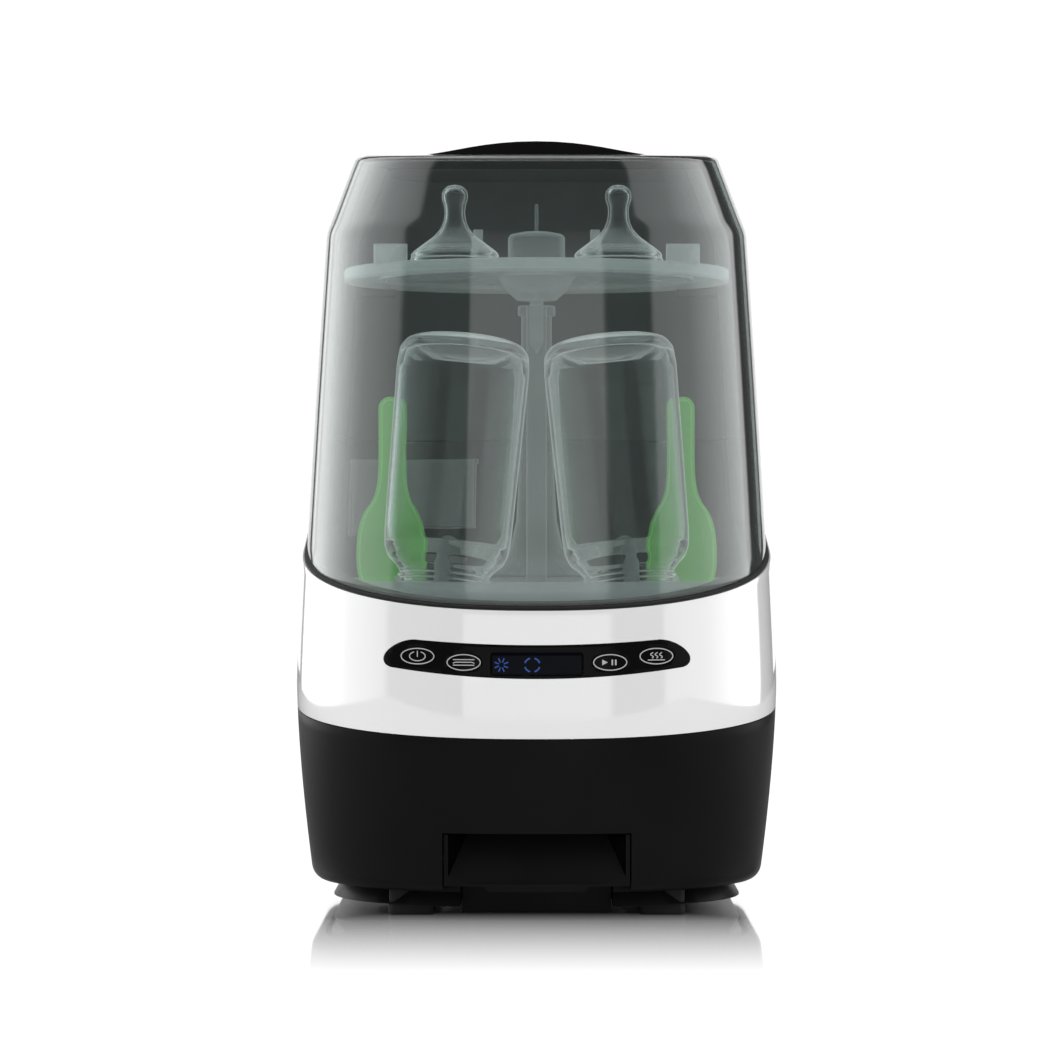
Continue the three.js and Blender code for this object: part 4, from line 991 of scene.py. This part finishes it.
def spoon_outline(shrink=0.0):
    """Round the spoon in (x, z), from the top of its handle down to the bowl, moved in by shrink."""
    low, top, bowl_z = 184.4 + shrink, 307.0, 208.4
    w, h = 20.5 - shrink, 7 - shrink
    right = [
        [(h, top - 7), (h, 262), (6 - shrink, 252), (12 - shrink, 242)],
        [(12 - shrink, 242), (19 - shrink, 234), (w, 224), (w, bowl_z)],
        [(w, bowl_z), (w, 190.4 + shrink), (12, low), (0, low)],
    ]
    side = [p for curve in right for p in bezier(curve, 10)]
    tip = arc(0, top - 7, h, h, 180, 0, 14)
    return tip + side + [(-x, z) for x, z in reversed(side[:-1])]


def make_spoon(side, name):
    """A flat spoon with rounded rims and a shallow hollow on both faces."""
    cx, cy = side * SPOON_AT[0], SPOON_AT[1]
    rim, face, hollow = spoon_outline(), spoon_outline(1.5), spoon_outline(2.3)
    layers = [(hollow, -1.1), (face, -2.3), (rim, -2.0), (rim, 0), (rim, 2.0), (face, 2.3), (hollow, 1.1)]
    rows = [[(cx + x, cy + y, z) for x, z in outline] for outline, y in layers]
    bm = bmesh.new()
    grid = add_grid(bm, rows, wrap=True)
    bm.faces.new(grid[0])
    bm.faces.new(grid[-1])
    paint(new_piece("green_" + name, bm, name, name), PAINT["green"])


for suffix, side in (("left", -1), ("right", 1)):
    make_bottle(side, "bottle_" + suffix)
    make_nipple(side, "nipple_" + suffix)
    make_spoon(side, "spoon_" + suffix)

# ------------------------------------------------------------------ the other parts, with softened edges
SOFT_EDGES = {
    "lid_bracket": 0.6, "hinge_cover": 0.6, "hinge_bracket_left": 0.5, "hinge_bracket_right": 0.5,
    "hinge_pin": 0.3, "upper_tray": 0.7, "tray_hub": 0.6, "spray_tower": 0.6, "bottle_rack": 0.6,
    "jet_front_left": 0.4, "jet_front_right": 0.4, "jet_rear_left": 0.4, "jet_rear_right": 0.4,
    "detergent_cup": 0.6, "chamber_liner": 0.8, "wash_tub": 0.8, "sump_cup": 0.5, "sump_filter": 0.2,
    "waste_tank_front": 0.7, "waste_tank": 0.6, "waste_tank_lid": 0.6, "base_plate": 0.7,
    "foot_front_left": 0.8, "foot_front_right": 0.8, "foot_rear_left": 0.8, "foot_rear_right": 0.8,
    "clean_tank": 0.7, "clean_tank_lid": 0.8, "tank_handle": 0.5, "tank_shelf": 0.6, "tank_valve": 0.3,
    "filter_cover": 0.5, "power_inlet": 0.5, "air_filter": 0.4, "wash_pump": 0.6, "drain_pump": 0.6,
    "heater_ring": 0.5, "fan_housing": 0.5, "fan_impeller": 0.2, "power_board": 0.2, "control_board": 0.2,
    "wash_hose": 0.3, "drain_hose": 0.3,
}
for piece, width in SOFT_EDGES.items():
    soft_copy(piece, width)

# ------------------------------------------------------------------ floor, light and camera, in metres
# Brightness of the studio round the machine in reflections, by angle in degrees from straight ahead.
PANEL_MOST = 2.4
PANELS = [
    (-180, 0.03), (-154, 0.03), (-149, 1.8), (-130, 2.2), (-106, 1.4), (-90, 0.84), (-62, 0.42),
    (-58, 0.0), (-22.5, 0.0), (-21, 0.38), (21.5, 0.38), (23, 0.0), (46, 0.0), (48, 0.38), (73, 0.54),
    (116, 1.6), (127, 1.9), (131, 0.0), (180, 0.0),
]
# How much each direction belongs to the front panel, whose upper edge is lower.
AHEAD = [(-180, 0.0), (-50, 0.0), (-40, 1.0), (34, 1.0), (42, 0.0), (180, 0.0)]
# How far up and down the panels reach, by the height of the direction looked in.
FRONT_REACH_UP = [(-1.0, 0.05), (-0.3, 0.1), (-0.12, 1.0), (0.192, 1.0), (0.208, 0.0), (1.0, 0.0)]
SIDE_REACH_UP = [(-1.0, 0.05), (-0.3, 0.1), (-0.12, 1.0), (0.78, 1.0), (0.9, 0.5), (1.0, 0.5)]
OVERHEAD, OVERHEAD_Z = 1.4, (0.82, 0.95)
WORLD_DIFFUSE, WORLD_GLOSSY = 0.5, 0.10
# The floor glows white except close round the base's footprint, given below, where a painted contact shadow
# leaves its dark grey.
FLOOR_GREY, PAINTED_SHADOW_REACH, FLOOR_GLOW_MIRRORED = (0.2, 0.2, 0.2), 0.046, 0.15
BASE_HALF_X, BASE_HALF_Y, BASE_MIDDLE_Y = 0.09, 0.12, 0.01
# Where the floor's mirror image comes in at the front and goes out at the back and the sides.
MIRROR_FRONT, MIRROR_BACK, MIRROR_SIDE = (-0.46, -0.15), (0.12, 0.4), (0.16, 0.25)
MIRROR_MOST, MIRROR_GLANCING = 0.82, 1.52
CARD_Y = 5
MIDDLE = (0.0, 0.0, 0.3)


def stage_sheet(name, corners, material):
    mesh = bpy.data.meshes.new(name)
    mesh.from_pydata(corners, [], [(0, 1, 2, 3)])
    obj = bpy.data.objects.new(name, mesh)
    obj.data.materials.append(material)
    bpy.context.scene.collection.objects.link(obj)


def make_floor():
    """White, with a mirror image of the base that fades out towards the camera, and a painted contact
    shadow where its glow is held low round the base.
    """
    m, tree = shader("white_floor")
    place = node(tree, "ShaderNodeSeparateXYZ")
    tree.links.new(node(tree, "ShaderNodeTexCoord").outputs["Object"], place.inputs["Vector"])
    x, y = place.outputs["X"], place.outputs["Y"]
    from_side = maths(tree, "ABSOLUTE", x)
    from_middle = maths(tree, "ABSOLUTE", maths(tree, "SUBTRACT", y, BASE_MIDDLE_Y))
    beside = maths(tree, "SUBTRACT", from_side, BASE_HALF_X)
    before = maths(tree, "SUBTRACT", from_middle, BASE_HALF_Y)
    # Painted contact shadow: the floor's glow rises from 0.02 by the base to 0.9 a short way out.
    outside = ramp(tree, maths(tree, "MAXIMUM", beside, before), 0.02, 0.9, 0.0, PAINTED_SHADOW_REACH)
    mirrored = node(tree, "ShaderNodeLightPath").outputs["Is Glossy Ray"]
    dimmed = ramp(tree, mirrored, 1.0, FLOOR_GLOW_MIRRORED, 0.0, 1.0)
    matt = node(tree, "ShaderNodeBsdfDiffuse")
    tree.links.new(tinted(tree, noise(tree, 2.0), FLOOR_GREY, 0.01), matt.inputs["Color"])
    lit = node(tree, "ShaderNodeEmission", Color=WHITE_LIGHT)
    tree.links.new(maths(tree, "MULTIPLY", outside, dimmed), lit.inputs["Strength"])
    both = node(tree, "ShaderNodeAddShader")
    tree.links.new(matt.outputs["BSDF"], both.inputs[0])
    tree.links.new(lit.outputs["Emission"], both.inputs[1])
    mirror = node(tree, "ShaderNodeBsdfGlossy", Roughness=0.05, Color=WHITE_LIGHT)
    near = ramp(tree, y, 0.0, MIRROR_MOST, *MIRROR_FRONT)
    far = ramp(tree, y, 1.0, 0.0, *MIRROR_BACK)
    beneath = ramp(tree, from_side, 1.0, 0.0, *MIRROR_SIDE)
    low_view = facing_power(tree, 4.0, 0.0, MIRROR_GLANCING)
    along, across = maths(tree, "MULTIPLY", near, far), maths(tree, "MULTIPLY", beneath, low_view)
    share = maths(tree, "MULTIPLY", along, across)
    to_output(tree, mixed(tree, share, both.outputs["Shader"], mirror.outputs["BSDF"]))
    half, front, back, z = 1.5, -1.0, CARD_Y, -0.0002
    stage_sheet("floor", [(-half, front, z), (half, front, z), (half, back, z), (-half, back, z)], m)


def make_card():
    """A white card far behind, for the floor to mirror."""
    m, tree = shader("white_card")
    lit = node(tree, "ShaderNodeEmission", Strength=1.05)
    tree.links.new(tinted(tree, noise(tree, 1.0), (0.995, 0.995, 0.995), 0.003), lit.inputs["Color"])
    to_output(tree, lit.outputs["Emission"])
    half, top = 2.2, 2.4
    corners = [(-half, CARD_Y, 0), (half, CARD_Y, 0), (half, CARD_Y, top), (-half, CARD_Y, top)]
    stage_sheet("card", corners, m)


def softbox(name, at, size, radiance, towards=MIDDLE):
    """A soft light of this width and height that reflections don't show."""
    light = bpy.data.lights.new(name, "AREA")
    light.shape = "RECTANGLE"
    light.size, light.size_y = size
    light.energy = radiance * math.pi * size[0] * size[1]
    obj = bpy.data.objects.new(name, light)
    obj.location = at
    obj.rotation_euler = (Vector(towards) - Vector(at)).to_track_quat("-Z", "Y").to_euler()
    obj.visible_glossy = False
    obj.visible_camera = False
    bpy.context.scene.collection.objects.link(obj)


def make_world():
    """White to the camera. In reflections it is a dark studio with a front panel and two long
    side panels that brighten towards the back."""
    world = bpy.data.worlds.new("studio")
    world.use_nodes = True
    tree = world.node_tree
    tree.nodes.clear()
    way = node(tree, "ShaderNodeSeparateXYZ")
    tree.links.new(node(tree, "ShaderNodeTexCoord").outputs["Generated"], way.inputs["Vector"])
    x, y, z = way.outputs
    angle = maths(tree, "ARCTAN2", x, maths(tree, "MULTIPLY", y, -1.0))

    def by_angle(stops, most=1.0):
        return curve_of(tree, angle, -math.pi, math.pi, [(math.radians(a), v / most) for a, v in stops])

    reach = blended(tree, by_angle(AHEAD), curve_of(tree, z, -1.0, 1.0, SIDE_REACH_UP),
                    curve_of(tree, z, -1.0, 1.0, FRONT_REACH_UP))
    panels = maths(tree, "MULTIPLY", by_angle(PANELS, PANEL_MOST), reach)
    overhead = ramp(tree, z, 0.0, OVERHEAD, *OVERHEAD_Z)
    lit = maths(tree, "ADD", maths(tree, "MULTIPLY", panels, PANEL_MOST), overhead)
    path = node(tree, "ShaderNodeLightPath")
    in_reflections = maths(tree, "ADD", lit, WORLD_GLOSSY)
    unseen = blended(tree, path.outputs["Is Glossy Ray"], WORLD_DIFFUSE, in_reflections)
    strength = blended(tree, path.outputs["Is Camera Ray"], unseen, 1.0)
    back = node(tree, "ShaderNodeBackground", Color=WHITE_LIGHT)
    tree.links.new(strength, back.inputs["Strength"])
    to_output(tree, back.outputs["Background"], "ShaderNodeOutputWorld")
    bpy.context.scene.world = world


make_floor()
make_card()
make_world()
softbox("front_panel", (0.0, -3.0, 1.9), (2.6, 3.0), 0.9)
softbox("left_panel", (-2.0, -0.3, 1.7), (2.4, 2.8), 1.2)
softbox("right_panel", (2.0, -0.6, 1.7), (2.4, 2.8), 1.0)
softbox("rear_panel", (0.0, 2.6, 2.0), (2.6, 1.8), 0.9)
softbox("top_panel", (0.0, 0.1, 2.6), (1.8, 1.4), 1.1, towards=(0.0, 0.1, 0.0))

camera = bpy.data.objects.new("camera", bpy.data.cameras.new("camera"))
camera.data.lens = 137.4
camera.data.sensor_width = 36.0
camera.data.clip_end = 60.0
camera.location = (-0.0040, -2.5, 0.226)
camera.rotation_euler = (math.pi / 2, 0, 0)
bpy.context.scene.collection.objects.link(camera)
bpy.context.scene.camera = camera
bpy.context.scene.view_settings.view_transform = "Standard"
